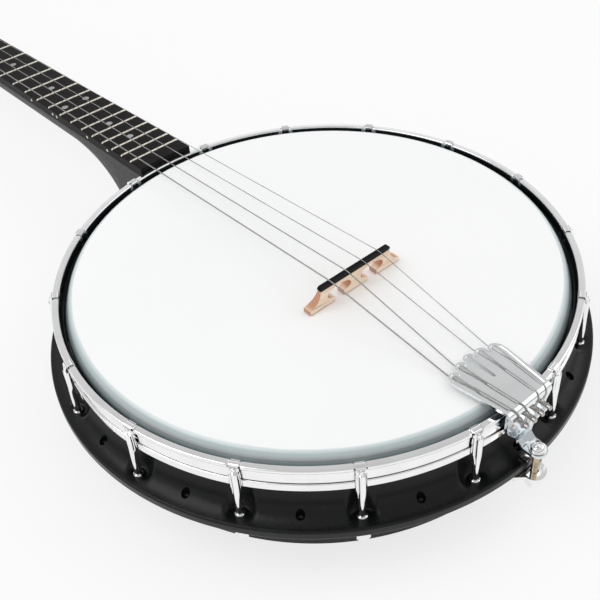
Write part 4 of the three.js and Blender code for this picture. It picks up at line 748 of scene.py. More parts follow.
TONGUE_Y = 0.0038 - FLANGE_OUTER_R


def cove_height(radius):
    """How high the hollow cove between rim and flange lies at a radius."""
    across = (COVE_OUTER_R - radius) / (COVE_OUTER_R - COVE_INNER_R)
    return COVE_TOP - (COVE_TOP - COVE_BOTTOM) * math.sqrt(1 - across * across)


def rim_profile():
    bend_r = CROWN_R - FILM_THICKNESS - GAP
    inner, foot = RIM_INNER_R, RIM_FOOT
    edge = FLANGE_OUTER_R - EDGE_R
    return [
        (inner, foot), (inner + foot / 3, foot / 3), (inner + foot, 0),
        (RIM_OUTER_R - foot, 0), (RIM_OUTER_R - foot / 3, foot / 3), (RIM_OUTER_R, foot),
        (RIM_OUTER_R, FLANGE_BOTTOM),
        *arc(edge, FLANGE_BOTTOM + EDGE_R, EDGE_R, EDGE_R, -QUARTER_TURN, 0, 5),
        *arc(edge, COVE_BOTTOM - EDGE_R, EDGE_R, EDGE_R, 0, QUARTER_TURN, 5),
        *arc(COVE_OUTER_R, COVE_TOP, COVE_INNER_R - COVE_OUTER_R, COVE_BOTTOM - COVE_TOP, QUARTER_TURN, 0,
             COVE_STEPS)[1:],
        (RIM_OUTER_R, COVE_TOP),
        *arc(FILM_OUTER_R - CROWN_R, HEAD_TOP - CROWN_R, bend_r, bend_r, 0, QUARTER_TURN, 8),
        (inner + 0.005, RIM_TOP), (inner + 0.004, RIM_TOP - 0.0004), (inner + 0.0006, RIM_TOP - 0.0044),
        (inner, RIM_TOP - 0.0055),
    ]


def around(angle, radius):
    """A place in the pot frame, turned by angle from +Y, at a radius."""
    return POT @ Matrix.Rotation(angle, 4, "Z") @ Matrix.Translation((0, radius, 0))


def sink_channel(rim, angle):
    """Lowers the cove round a hook to its floor, with shoulders that run out softly."""
    axis = around(angle, HOOK_CIRCLE_R).translation
    for vert in rim.data.vertices:
        radius = math.hypot(vert.co.x, vert.co.y - POT_Y)
        inside = COVE_INNER_R + RIM_MARGIN < radius < COVE_OUTER_R - RIM_MARGIN
        if not inside or abs(vert.co.z - cove_height(radius)) > SAME_HEIGHT:
            continue
        away = math.hypot(vert.co.x - axis.x, vert.co.y - axis.y)
        share = held((away - CHANNEL_FLOOR_R) / (CHANNEL_R - CHANNEL_FLOOR_R))
        vert.co.z = COVE_BOTTOM + (vert.co.z - COVE_BOTTOM) * share * share * (3 - 2 * share)


def pot_rim(paint):
    """One sector, with a channel a quarter along it and a dimple three quarters along, copied round."""
    sector = FULL_TURN / HOOK_COUNT
    start = sector / 4
    hook = sector / 2
    rim = turned("rim", rim_profile(), RIM_SIDES, POT, start, sector)
    high = COVE_TOP + OVER
    low = cove_height(DIMPLE_CIRCLE_R) - DIMPLE_DEPTH
    sink_channel(rim, hook)
    dimple = [(0, low), (DIMPLE_R * 0.6, low), (DIMPLE_R, low + 0.001), (DIMPLE_R, high), (0, high)]
    cut(rim, turned("dimple", dimple, DIMPLE_SIDES, around(sector, DIMPLE_CIRCLE_R)))
    cut(rim, rod("hole", HOOK_HOLE_R, 0.02, high, around(hook, HOOK_CIRCLE_R), 24))
    open_ends(rim, start, start + sector)
    repeated(rim, HOOK_COUNT)
    reach = RIM_WALL
    middle = RIM_OUTER_R - RIM_WALL / 2
    slot_x, slot_y = 0.0019, 0.0011
    cut(rim,
        rod("heel_hole", STUD_HOLE_R, -reach, reach, along(0, middle, ROD_Z)),
        rod("tail_hole", STUD_HOLE_R, -reach, reach, along(0, -middle, ROD_Z)),
        rod("bolt_hole", STUD_HOLE_R, -reach, reach * 2, along(0, middle, HEEL_BOLT_Z)),
        box("slot", (TONGUE_X - slot_x, TONGUE_Y - slot_y, 0.02),
            (TONGUE_X + slot_x, TONGUE_Y + slot_y, COVE_TOP), POT))
    dress(rim, paint, "composite", "pot_rim", degrees=48)


# Head and hoops
def drum_head(paint):
    """A flat film with a rolled edge, whose skirt flares out to the flesh hoop."""
    skirt = HEAD_LOW.z
    bend_r, bend_z = FILM_OUTER_R - CROWN_R, HEAD_TOP - CROWN_R
    inner = CROWN_R - FILM_THICKNESS
    rings = [bend_r * k / 14 for k in range(1, 14)]
    flare = []
    for k in range(1, 11):
        share = k / 10
        radius = FILM_OUTER_R + COLLAR_FLARE * share * share * (3 - 2 * share)
        flare.append((radius, bend_z + (LEDGE_TOP - bend_z) * share))
    back = [(r - FILM_THICKNESS, z) for r, z in reversed(flare)]
    film = turned("film_head", [
        (0, HEAD_TOP), *((r, HEAD_TOP) for r in rings),
        *arc(bend_r, bend_z, CROWN_R, CROWN_R, QUARTER_TURN, 0, 14),
        *flare, (COLLAR_R, skirt), (COLLAR_R - FILM_THICKNESS, skirt), *back,
        *arc(bend_r, bend_z, inner, inner, 0, QUARTER_TURN, 10), (0, HEAD_TOP - FILM_THICKNESS),
    ], RING_SIDES, POT)
    dress(film, paint, "film", "drum_head")


HOOP_WALL = 0.0032
HOOP_INNER_R = HOOP_OUTER_R - HOOP_WALL
BEAD_HEIGHT = 0.0024
BEAD_PROUD = 0.0005
NOTCH_DEPTH = 0.001
NOTCH_HALF = 0.0032
# How far down from the top, and how far out from the inner wall, the painted shade on the hoop reaches
PAINTED_SHADE_DEPTH = 0.0032
PAINTED_SHADE_REACH = 0.0002


def hoop_profile():
    lip = 0.0009
    band = HOOP_OUTER_R - BEAD_PROUD
    bead = HOOP_TOP - BEAD_HEIGHT
    groove = 0.0005
    inner = COLLAR_R + GAP
    return [
        *arc(HOOP_INNER_R + lip, HOOP_TOP - lip, lip, lip, HALF_TURN, QUARTER_TURN, 5),
        *arc(LIP_OUTER_R - lip, HOOP_TOP - lip, lip, lip, QUARTER_TURN, 0, 5),
        *arc(LIP_OUTER_R - lip, bead + lip, lip, lip, 0, -QUARTER_TURN, 5)[:-1],
        (band - groove, bead - 0.0002), (band - groove, bead - 0.0006), (band - 0.0001, bead - 0.001),
        (band, bead - 0.0013), (band, HOOP_BOTTOM + 0.0006),
        (band - 0.0002, HOOP_BOTTOM + 0.0001), (band - 0.0006, HOOP_BOTTOM),
        (inner, HOOP_BOTTOM), (inner, LEDGE_TOP - 0.0003), (inner + 0.0003, LEDGE_TOP),
        (HOOP_INNER_R - 0.0008, LEDGE_TOP), (HOOP_INNER_R, LEDGE_TOP + 0.0008),
    ]


def tension_hoop(paint, inside):
    """The hoop with its hook notches. Its inner wall below the lip and its ledge take a second, near-black
    material: painted shade in the gap beside the head.
    """
    sector = FULL_TURN / HOOK_COUNT
    hoop = turned("hoop", hoop_profile(), RING_SIDES // HOOK_COUNT, POT, 0.0, sector)
    middle = around(sector / 2, HOOP_INNER_R)
    far, high = 0.006, HOOP_TOP + OVER * 2
    lip_bottom = HOOP_TOP - BEAD_HEIGHT - 0.0002
    cut(hoop, box("notch", (-NOTCH_HALF, -OVER * 2, HOOP_TOP - NOTCH_DEPTH), (NOTCH_HALF, far, high), middle),
        box("lip_cut", (-NOTCH_HALF, HOOP_WALL, lip_bottom), (NOTCH_HALF, far, high), middle))
    open_ends(hoop, 0.0, sector)
    rounded(hoop, 0.00025, 2, 40)
    repeated(hoop, HOOK_COUNT)
    dress(hoop, paint, "chrome", "tension_hoop", degrees=40)
    # Painted shade: the near-black second material goes on the inner wall below the lip and on the ledge
    hoop.data.materials.append(inside)
    for face in hoop.data.polygons:
        radius = math.hypot(face.center.x, face.center.y - POT_Y)
        if radius < HOOP_INNER_R + PAINTED_SHADE_REACH and face.center.z < HOOP_TOP - PAINTED_SHADE_DEPTH:
            face.material_index = 1


def flesh_hoop(paint):
    inner = COLLAR_R + GAP
    corners = softened([(inner, FLESH_TOP), (FLESH_OUTER_R, FLESH_TOP), (FLESH_OUTER_R, FLESH_BOTTOM),
                        (inner, FLESH_BOTTOM)], 0.0007)
    dress(turned("flesh_ring", corners, RING_SIDES, POT), paint, "chrome", "flesh_hoop", degrees=50)


# Hooks
HOOK_HALF = 0.0029
HOOK_DEPTH = 0.0029
BLADE_DEPTH = 0.0016
RIB_HALF = 0.00195
RIB_X = -0.0005
CREASE_X = 0.00165
CREASE_HALF = 0.00022
SHANK_R = 0.00175
CLAW_BOTTOM = HOOP_TOP - NOTCH_DEPTH + GAP
CLAW_TOP = CLAW_BOTTOM + 0.0018
CLAW_TIP = HOOP_INNER_R + 0.0001
BLADE_INNER = HOOK_CIRCLE_R - HOOK_DEPTH / 2
SPEAR_TOP = 0.0558
SPEAR_END = 0.0452
SHANK_END = 0.026
HOOK_STEPS = 44
CREASE_DEPTH = 0.0006
BACK_CURL = 0.0004
CLAW_BEND_R = 0.0025
HOOK_NUT_R = 0.004
HOOK_NUT_TOP = FLANGE_BOTTOM - GAP
HOOK_NUT_FLAT = HOOK_NUT_TOP - 0.009
HOOK_NUT_END = HOOK_NUT_FLAT - 0.003


def hook_section(z):
    """The hook's outline at a height: a thin blade with a rib down its middle, that narrows to a rod."""
    taper = held((SPEAR_TOP - z) / (SPEAR_TOP - SPEAR_END))
    narrow = min(1.0, taper * 1.25) ** 0.6
    half = HOOK_HALF * 0.94 + HOOK_HALF * 0.06 * min(1.0, (CLAW_TOP - z) / 0.012)
    half = half + (SHANK_R - half) * narrow
    middle = HOOK_DEPTH / 2
    outer, inner = [], []
    for k in range(HOOK_STEPS + 1):
        share = -math.cos(HALF_TURN * k / HOOK_STEPS)
        x = share * half
        blade = BLADE_DEPTH * (1 - abs(share) ** 10) ** 0.25
        rib = HOOK_DEPTH * (1 - min(1.0, abs(x - RIB_X) / RIB_HALF) ** 4) ** 0.35
        groove = CREASE_DEPTH * (1 - taper) * max(0.0, 1 - abs(x - CREASE_X) / CREASE_HALF)
        bow = SHANK_R * math.sqrt(max(0.0, 1 - share * share))
        body = max(blade, rib) - groove
        outer.append((x, body + (middle + bow - body) * taper))
        back = BACK_CURL * abs(share) ** 12
        inner.append((x, back + (middle - bow - back) * taper))
    return [(x, y, z) for x, y in outer + inner[-2:0:-1]]


def hook_blank():
    """One hook at +Y in a frame that stands at its blade's inner face."""
    neck_z = CLAW_BOTTOM - 0.0028
    heights = [neck_z - (neck_z - SPEAR_TOP) * k / 4 for k in range(5)]
    heights += [SPEAR_TOP - (SPEAR_TOP - SPEAR_END) * k / 12 for k in range(1, 13)]
    heights += [SHANK_END]
    blade = loft("hook", [hook_section(z) for z in heights], Matrix())
    bend, root = CLAW_BEND_R, CLAW_BOTTOM - 0.004
    tip = CLAW_TIP - BLADE_INNER
    side = [(tip, CLAW_BOTTOM), (tip, CLAW_TOP - 0.0009), (tip + 0.0009, CLAW_TOP - 0.0002),
            (tip + 0.0022, CLAW_TOP),
            *arc(BLADE_DEPTH - bend, CLAW_TOP - bend, bend, bend, QUARTER_TURN, 0, 6),
            (BLADE_DEPTH, root), (0, root), (0, CLAW_BOTTOM)]
    half = HOOK_HALF * 0.84
    claw = plate("claw", side, -half, half, SIDE)
    for x, radius in ((-0.0011, 0.00075), (0.0012, 0.0006)):
        place = along(x, BLADE_DEPTH - 0.0011, CLAW_BOTTOM - 0.0001, Matrix())
        cut(claw, rod("hollow", radius, 0, 0.004, place, 20))
    rounded(claw, (CLAW_TOP - CLAW_BOTTOM) * 0.2, 2, 40)
    path = [(0, BLADE_DEPTH * 0.7, CLAW_BOTTOM - 0.0045), (0, BLADE_DEPTH * 0.85, CLAW_BOTTOM - 0.0022),
            (0, 0.0012, CLAW_BOTTOM - 0.0002)]
    join(blade, claw, tube("knuckle", path, 0.0009, 16, Matrix()))
    return blade


def hook_nut(place):
    """A long hexagonal nut with a domed end and a turned collar under the flange."""
    radius, top = HOOK_NUT_R, HOOK_NUT_TOP
    nut = turned("nut", [(0, top), (radius, top), (radius, HOOK_NUT_FLAT),
                         (radius * 0.86, HOOK_NUT_FLAT - 0.0009), (radius * 0.6, HOOK_NUT_END),
                         (0, HOOK_NUT_END)], HEX_SIDES, place)
    collar = turned("collar", [(0, top), (radius * 0.98, top), (radius * 0.98, top - 0.0012),
                               (radius * 0.8, top - 0.0016), (0, top - 0.0016)], ROD_SIDES, place)
    return join(nut, collar)


def hooks(paint):
    blade = rounded(hook_blank(), 0.0001, 1, 50)
    seat = cove_height(COVE_OUTER_R)
    bore = SHANK_R + 0.0001
    ferrule_line = [(bore, seat), (0.0026, seat), (0.0027, seat + 0.0003), (0.0025, seat + 0.0011),
                    (0.0021, seat + 0.0014), (bore, seat + 0.0014)]
    for i in range(HOOK_COUNT):
        name = f"{i + 1:02d}"
        piece = link("hook_blade_" + name, blade.data.copy())
        piece.data.transform(around(hook_angle(i), BLADE_INNER))
        dress(piece, paint, "chrome", "hook_" + name, degrees=38)
        axis = around(hook_angle(i), HOOK_CIRCLE_R)
        dress(turned("hook_ferrule_" + name, ferrule_line, 24, axis), paint, "chrome")
        nut = rounded(hook_nut(axis), 0.0003, 2, 30)
        nut.name = "hook_nut_" + name
        dress(nut, paint, "chrome", degrees=38)
    bpy.data.objects.remove(blade)


# Bridge
BRIDGE_FOOT_Z = BRIDGE_LOW.z
BRIDGE_HALF = BRIDGE_HIGH.x
CAP_HALF = CAP_HIGH.x
CAP_THICKNESS = CAP_HIGH.y - CAP_LOW.y
FOOT_HEIGHT = 0.0024
ARCH_X = 0.012
ARCH_Z = 0.0061
ARCH_HALF = 0.0083
ARCH_RISE = 0.0038
ARCH_FALL = 0.0035
MOUTH_HALF = 0.0033
ARCH_STEPS = 48
STRING_RADII = (0.00042, 0.00034, 0.00027, 0.00023)
STRING_SPACING = 0.0118
STRING_Z = CAP_HIGH.z


def bridge_arch(side):
    """One arch, left to right: an oval over a narrower mouth."""
    start = math.acos(MOUTH_HALF / ARCH_HALF)
    points = []
    for k in range(ARCH_STEPS + 1):
        angle = HALF_TURN + start - (HALF_TURN + start * 2) * k / ARCH_STEPS
        reach = ARCH_RISE if math.sin(angle) > 0 else ARCH_FALL
        points.append((side * ARCH_X + ARCH_HALF * math.cos(angle), ARCH_Z + reach * math.sin(angle)))
    return [(points[0][0], 0), *points, (points[-1][0], 0)]


def bridge_body(paint):
    """A maple plate with two arches and swept sides, tapered from its feet to its crest."""
    top = BRIDGE_HIGH.z - BRIDGE_FOOT_Z
    start, bend, end = (BRIDGE_HALF, FOOT_HEIGHT), (CAP_HALF, FOOT_HEIGHT * 2), (CAP_HALF, top)
    sweep = []
    for k in range(17):
        t = k / 16
        sweep.append(tuple((1 - t) ** 2 * a + 2 * t * (1 - t) * b + t * t * c
                           for a, b, c in zip(start, bend, end)))
    front = [*bridge_arch(-1), *bridge_arch(1), (BRIDGE_HALF, 0), *mirrored(sweep), (-BRIDGE_HALF, 0)]
    foot = BRIDGE_THICKNESS / 2
    crest_rear, crest_front = CAP_LOW.y - POT_Y - FOOT_Y, CAP_HIGH.y - POT_Y - FOOT_Y
    place = shift(0, FOOT_Y, BRIDGE_FOOT_Z)
    body = plate("bridge", front, -BRIDGE_THICKNESS, BRIDGE_THICKNESS, place @ FRONT)
    side = [(-foot, 0), (foot, 0), (foot, FOOT_HEIGHT), (crest_front, top), (crest_rear, top),
            (-foot, FOOT_HEIGHT)]
    trim(body, plate("taper", side, -BRIDGE_HALF * 1.1, BRIDGE_HALF * 1.1, place @ SIDE))
    rounded(body, 0.00035, 2, 32)
    dress(body, paint, "maple", "bridge_body", degrees=32)


def bridge_cap(paint):
    """An ebony strip with its ends' corners off and a notch for each string."""
    cap = box("bridge_ebony", CAP_LOW, CAP_HIGH, Matrix())
    corner = 0.0011
    low, high = CAP_LOW.z, CAP_HIGH.z
    outline = [(CAP_LOW.x + corner, low), (CAP_HALF - corner, low), (CAP_HALF, low + corner * 0.5),
               (CAP_HALF, high - corner), (CAP_HALF - corner, high), (corner - CAP_HALF, high),
               (-CAP_HALF, high - corner), (-CAP_HALF, low + corner * 0.5)]
    rear, front = CAP_LOW.y - OVER, CAP_HIGH.y + OVER
    trim(cap, plate("ends", outline, rear, front, FRONT))
    cut(cap, *(rod("notch", radius * 1.25, rear, front,
                   along(string_x(i, STRING_SPACING), 0, STRING_Z, Matrix()), 16)
               for i, radius in enumerate(STRING_RADII)))
    rounded(cap, 0.00018, 2, 35)
    dress(cap, paint, "ebony", "bridge_cap", degrees=35)


# Tailpiece
PLATE_TOP = PLATE_HIGH.z
PLATE_THICKNESS = 0.0016
LOBE_R = 0.0037
LOBE_SPACING = 0.00715
LOBE_COUNT = 5
LOBE_LEAD = 0.0038
TAIL_FRONT_Y = PLATE_HIGH.y - POT_Y - LOBE_R + LOBE_LEAD
TAIL_REAR_Y = -(HOOP_OUTER_R + 0.0042)
TAIL_BACK_Y = TAIL_REAR_Y - PLATE_THICKNESS
SHOULDER_HALF = PLATE_HIGH.x
REAR_HALF = 0.0147
TAIL_BEND_R = 0.0032
SKIRT_BOTTOM = PLATE_TOP - 0.0092
SKIRT_HALF = 0.0106
SHOULDER_Y = TAIL_FRONT_Y - 0.0078
LOBE_STEPS = 16
PIN_Z = HOOP_TOP - 0.003
PIN_R = 0.0012
PIN_LENGTH = 0.0052
PIN_SPACING = 0.0056
TAB_HALF = 0.0013
TAB_LENGTH = 0.0042
TAB_RISE = 0.0006
BORDER = 0.0011
BORDER_RISE = 0.0005
BEND_SHARE = 0.8
LOBE_BACK = (0.0036, 0.0011, 0.0, 0.0011, 0.0036)
SLOT_FRONT_X = 0.0073
SLOT_REAR_X = 0.0067
SLOT_FRONT_R = 0.0016
SLOT_REAR_R = 0.0008
SLOT_REACH = (0.0132, 0.0147, 0.0151, 0.0147, 0.0132)
SLOT_EDGE = 0.0019


def lobe_x(i):
    return (i - (LOBE_COUNT - 1) / 2) * LOBE_SPACING


def string_slot(i):
    """The slot that string i comes up through. The middle one carries none."""
    return i if i < LOBE_COUNT // 2 else i + 1


def lobe_y(i):
    """The lobes' centres lie on a shallow bow, with the middle one foremost."""
    return TAIL_FRONT_Y - LOBE_BACK[i]


def plate_outline(inset, rear_y):
    """The tailpiece's plan, lobes and all, drawn in by inset."""
    radius = LOBE_R - inset
    shoulder, rear = SHOULDER_HALF - inset, REAR_HALF - inset
    edge = [(-shoulder, lobe_y(0)), (-shoulder, SHOULDER_Y), (-rear, rear_y),
            (rear, rear_y), (shoulder, SHOULDER_Y), (shoulder, lobe_y(LOBE_COUNT - 1))]
    front = []
    for i in reversed(range(LOBE_COUNT)):
        spread = min(radius, LOBE_SPACING / 2)
        for k in range(LOBE_STEPS + 1):
            x = spread - spread * 2 * k / LOBE_STEPS
            reach = math.sqrt(max(0.0, radius * radius - x * x))
            front.append((lobe_x(i) + x, lobe_y(i) + reach))
    return edge + [(x, y) for x, y in front if abs(x) < shoulder - 0.00002]


def slot_ends(i):
    """The middles of a slot's round ends, front and rear. All five draw together a little to the rear."""
    place = i - (LOBE_COUNT - 1) / 2
    front_y = lobe_y(i) + LOBE_R - SLOT_EDGE - SLOT_FRONT_R
    return (place * SLOT_FRONT_X, front_y), (place * SLOT_REAR_X, front_y - SLOT_REACH[i])


def slot_tool(i, low, high):
    """A slot that is wide and round in front and narrows to the rear."""
    front, rear = slot_ends(i)
    outline = [*arc(*front, SLOT_FRONT_R, SLOT_FRONT_R, 0, HALF_TURN, 12),
               *arc(*rear, SLOT_REAR_R, SLOT_REAR_R, HALF_TURN, FULL_TURN, 8)]
    return plate("slot", outline, low, high, POT)


def tailpiece(paint, pin_paint):
    """A sheet bent down at the rear, cut to its plan, with a raised border, tabs and pins."""
    front_y = TAIL_FRONT_Y + LOBE_R + OVER
    wide = SHOULDER_HALF + OVER
    bend = (TAIL_BACK_Y + TAIL_BEND_R, PLATE_TOP - TAIL_BEND_R)
    inner = TAIL_BEND_R - PLATE_THICKNESS
    outer_line = [(front_y, PLATE_TOP), *arc(*bend, TAIL_BEND_R, TAIL_BEND_R, QUARTER_TURN, HALF_TURN, 10),
                  (TAIL_BACK_Y, SKIRT_BOTTOM)]
    inner_line = [(TAIL_REAR_Y, SKIRT_BOTTOM), *arc(*bend, inner, inner, HALF_TURN, QUARTER_TURN, 10),
                  (front_y, PLATE_TOP - PLATE_THICKNESS)]
    sheet = plate("tailpiece", outer_line + inner_line, -wide, wide, POT @ SIDE)
    low, high = SKIRT_BOTTOM - OVER * 2, PLATE_TOP + OVER * 2
    rear_y = TAIL_BACK_Y - OVER * 2
    trim(sheet, plate("outline", plate_outline(0, rear_y), low, high, POT))
    wide += OVER
    narrow = mirrored([(-wide, high), (-wide, bend[1]), (-REAR_HALF - 0.0001, bend[1]),
                       (-SKIRT_HALF, SKIRT_BOTTOM - 0.0001)])
    trim(sheet, plate("narrow", narrow, rear_y, front_y + OVER * 2, POT @ FRONT))
    cut(sheet, *(slot_tool(i, PLATE_TOP - OVER * 4, PLATE_TOP + OVER) for i in range(LOBE_COUNT)))
    rounded(sheet, 0.0004, 3, 40)
    field = plate_outline(BORDER, TAIL_REAR_Y + BORDER * 2)
    cut(sheet, plate("field", field, PLATE_TOP - BORDER_RISE, high, POT))
    tabs = []
    for i in range(STRING_COUNT - 1):
        x = string_x(i, PIN_SPACING) + PIN_SPACING / 2
        start = (x - TAB_HALF, TAIL_BACK_Y - TAB_LENGTH, PIN_Z - TAB_RISE)
        end = (x + TAB_HALF, TAIL_BACK_Y + TAB_RISE, PIN_Z + TAB_RISE)
        tabs.append(rounded(box("tab", start, end, POT), 0.0003, 2))
    join(sheet, *tabs)
    dress(sheet, paint, "chrome", "tailpiece_plate", degrees=30)
    pin_line = [(0, -PIN_LENGTH), (PIN_R - 0.0003, -PIN_LENGTH), (PIN_R, 0.0003 - PIN_LENGTH),
                (PIN_R, -0.0014), (PIN_R * 0.86, -0.0011), (PIN_R * 0.86, 0.0004), (0, 0.0004)]
    for i in range(STRING_COUNT):
        place = along(string_x(i, PIN_SPACING), TAIL_BACK_Y, PIN_Z)
        dress(turned(f"string_pin_{i + 1}", pin_line, 24, place), pin_paint, "steel")


# Bracket, clamp and screw under the tailpiece
BRACKET_THICKNESS = 0.0018
BRACKET_OUTER_Y = TAIL_REAR_Y + GAP
BRACKET_INNER_Y = BRACKET_OUTER_Y + BRACKET_THICKNESS
ARM_TOP = HOOP_TOP - 0.0242
ARM_BOTTOM = ARM_TOP - BRACKET_THICKNESS
ARM_HALF = 0.005
TAIL_SCREW_Y = TAIL_REAR_Y - 0.0082
SCREW_R = 0.0018
CLAMP_TOP = FLANGE_BOTTOM - GAP
CLAMP_THICKNESS = 0.0018
CLAMP_BOTTOM = CLAMP_TOP - CLAMP_THICKNESS
CLAMP_WALL_Y = -(RIM_OUTER_R + GAP)
CLAMP_HALF = 0.011
CLAMP_END_R = 0.0064
CLAMP_RIM_Y = 0.001 - FLANGE_OUTER_R
TONGUE_HALF = 0.0015
TONGUE_RISE = 0.0014
SCREW_PLACE = shift(0, TAIL_SCREW_Y, 0)
RIVET_PLACES = ((-0.0107, 0.064), (-0.0049, 0.0555), (0.0049, 0.0555), (0.0107, 0.064))


def tail_bracket(paint, rivet_paint):
    """A bent sheet: upright behind the tailpiece's skirt, then level out to the screw."""
    top = PLATE_TOP - PLATE_THICKNESS - GAP
    corner = TAIL_BEND_R - PLATE_THICKNESS
    shoulder, waist, bend = HOOP_TOP - 0.009, HOOP_TOP - 0.0195, HOOP_TOP - 0.021
    top_half, waist_half = 0.0146, 0.0057
    inner, outer = BRACKET_INNER_Y, BRACKET_OUTER_Y
    arm_y, end_y = outer - 0.0034, TAIL_SCREW_Y - ARM_HALF
    section = [(inner, top), (outer + corner, top), (outer, top - corner), (outer, bend), (arm_y, ARM_TOP),
               (end_y, ARM_TOP), (end_y, ARM_BOTTOM), (arm_y, ARM_BOTTOM), (inner, bend)]
    sheet = plate("bracket", section, -top_half, top_half, POT @ SIDE)
    front = softened(mirrored([(-top_half, top), (-top_half, shoulder), (-waist_half, waist),
                               (-waist_half, ARM_BOTTOM)]), 0.003)
    trim(sheet, plate("front", front, end_y - OVER, inner + OVER, POT @ FRONT))
    plan = [(-top_half, inner), (-top_half, outer), (-ARM_HALF, outer),
            *arc(0, TAIL_SCREW_Y, ARM_HALF, ARM_HALF, HALF_TURN, FULL_TURN, 20), (ARM_HALF, outer),
            (top_half, outer), (top_half, inner)]
    trim(sheet, plate("plan", plan, ARM_BOTTOM - OVER, top + OVER, POT))
    cut(sheet, rod("hole", SCREW_R + GAP, ARM_BOTTOM - OVER, ARM_TOP + OVER, SCREW_PLACE))
    rounded(sheet, 0.0003, 2, 35)
    dress(sheet, paint, "zinc", "tail_bracket", degrees=30)
    rivet_line = [(0, -0.0005), (0.0005, -0.00045), (0.0008, -0.0002), (0.0009, 0), (0.0009, 0.0001),
                  (0, 0.0001)]
    for i, (x, z) in enumerate(RIVET_PLACES):
        rivet = turned(f"bracket_rivet_{i + 1}", rivet_line, 20, along(x, outer, z))
        dress(rivet, rivet_paint, "brass")


def tail_clamp(paint):
    """A plate under the flange with a wall against the rim and a tongue up through the flange's slot."""
    plan = [(-CLAMP_HALF, CLAMP_WALL_Y), (-CLAMP_HALF, CLAMP_RIM_Y),
            *arc(0, TAIL_SCREW_Y, CLAMP_END_R, CLAMP_END_R, HALF_TURN, FULL_TURN, 28),
            (CLAMP_HALF, CLAMP_RIM_Y), (CLAMP_HALF, CLAMP_WALL_Y)]
    clamp = plate("clamp", plan, CLAMP_BOTTOM, CLAMP_TOP, POT)
    end = TONGUE_Y + 0.0007
    low = cove_height(-end) + GAP
    left, right, high = TONGUE_X - TONGUE_HALF, TONGUE_X + TONGUE_HALF, low + TONGUE_RISE
    join(clamp,
         box("wall", (-CLAMP_HALF, CLAMP_WALL_Y - CLAMP_THICKNESS, CLAMP_TOP - 0.022),
             (CLAMP_HALF, CLAMP_WALL_Y, CLAMP_TOP), POT),
         box("riser", (left, end - TONGUE_RISE, CLAMP_BOTTOM), (right, end, high), POT),
         box("tongue", (left, end - 0.0052, low), (right, end, high), POT))
    cut(clamp, rod("screw_hole", SCREW_R + GAP, CLAMP_BOTTOM - OVER, CLAMP_TOP + OVER, SCREW_PLACE),
        rod("stud_hole", STUD_HOLE_R, -OVER * 4, OVER * 2, along(0, CLAMP_WALL_Y, ROD_Z)))
    rounded(clamp, 0.0003, 2, 35)
    dress(clamp, paint, "chrome", "tail_clamp", degrees=30)


def thread(radius, low, high, pitch, depth):
    """The profile of a threaded rod from low up to high, as close rings."""
    line = [(radius, high)]
    for k in range(int((high - low) / pitch)):
        z = high - pitch * k
        line += [(radius, z - pitch * 0.15), (radius - depth, z - pitch * 0.5), (radius, z - pitch * 0.85)]
    return [(radius, low)] + line[::-1]


def tail_screw(paint, washer_paint):
    seat = ARM_TOP + GAP
    washer_r, washer = 0.0044, 0.0006
    high = seat + 0.003
    low = CLAMP_BOTTOM - 0.008
    head_low = seat + washer
    bore = SCREW_R + 0.0002
    head = turned("tail_bolt_head", [
        (0, high), (0.001, high), (0.0024, high - 0.00035), (0.0034, high - 0.001),
        (0.0039, head_low + 0.0004), (0.0037, head_low), (0, head_low)], ROD_SIDES, SCREW_PLACE)
    cut_cross(head, 0.002, 0.00045, high - 0.0013, high + OVER, SCREW_PLACE)
    dress(rounded(head, 0.00012, 2, 40), washer_paint, "chrome", degrees=32)
    turns = thread(SCREW_R, low + 0.0005, head_low, 0.0007, 0.00026)[::-1]
    shank = [(0, head_low), *turns, (SCREW_R * 0.8, low), (0, low)]
    screw = turned("tail_bolt", shank, ROD_SIDES, SCREW_PLACE)
    dress(screw, paint, "brass", "tail_screw", degrees=32)
    line = softened([(bore, seat), (washer_r, seat), (washer_r, head_low), (bore, head_low)], 0.0003)
    dress(turned("tail_washer", line, ROD_SIDES, SCREW_PLACE), washer_paint, "chrome")


def tail_nut(paint):
    """An acorn nut: a hexagon with a flange above and a dome below."""
    top = CLAMP_BOTTOM - GAP
    flat = top - 0.0056
    end = flat - 0.005
    radius = 0.0046
    waist = radius * math.cos(HALF_TURN / HEX_SIDES)
    dome_r, dome_z = waist * 0.93, flat - 0.0004
    nut = turned("acorn", [(0, top), (radius, top), (radius, flat), (waist * 0.96, dome_z), (0, dome_z)],
                 HEX_SIDES, SCREW_PLACE)
    dome = turned("dome", [(0, flat + 0.0005), (dome_r, flat + 0.0005),
                           *arc(0, dome_z, dome_r, end - flat + 0.0004, 0, QUARTER_TURN, 10)[:-1],
                           (0, end)], ROD_SIDES, SCREW_PLACE)
    flange = turned("flange", [(0, top), (radius, top), (radius, top - 0.0008), (waist * 0.97, top - 0.0012),
                               (0, top - 0.0012)], ROD_SIDES, SCREW_PLACE)
    join(nut, dome, flange)
    cut(nut, rod("bore", SCREW_R + GAP, top - 0.008, top + OVER, SCREW_PLACE))
    rounded(nut, 0.0003, 2, 32)
    nut.name = "acorn_nut"
    dress(nut, paint, "chrome", "tail_nut", degrees=35)


# Rod, bolts and nuts inside the pot
STUD_R = 0.003
ROD_R = 0.004
ROD_NUT_R = 0.0064
ROD_NUT_LENGTH = 0.005
STUD_PITCH = 0.001
STUD_DEPTH = 0.0003
STUD_EDGE = 0.0006
NUT_SEAT_Y = math.sqrt(RIM_INNER_R ** 2 - ROD_NUT_R ** 2) - GAP


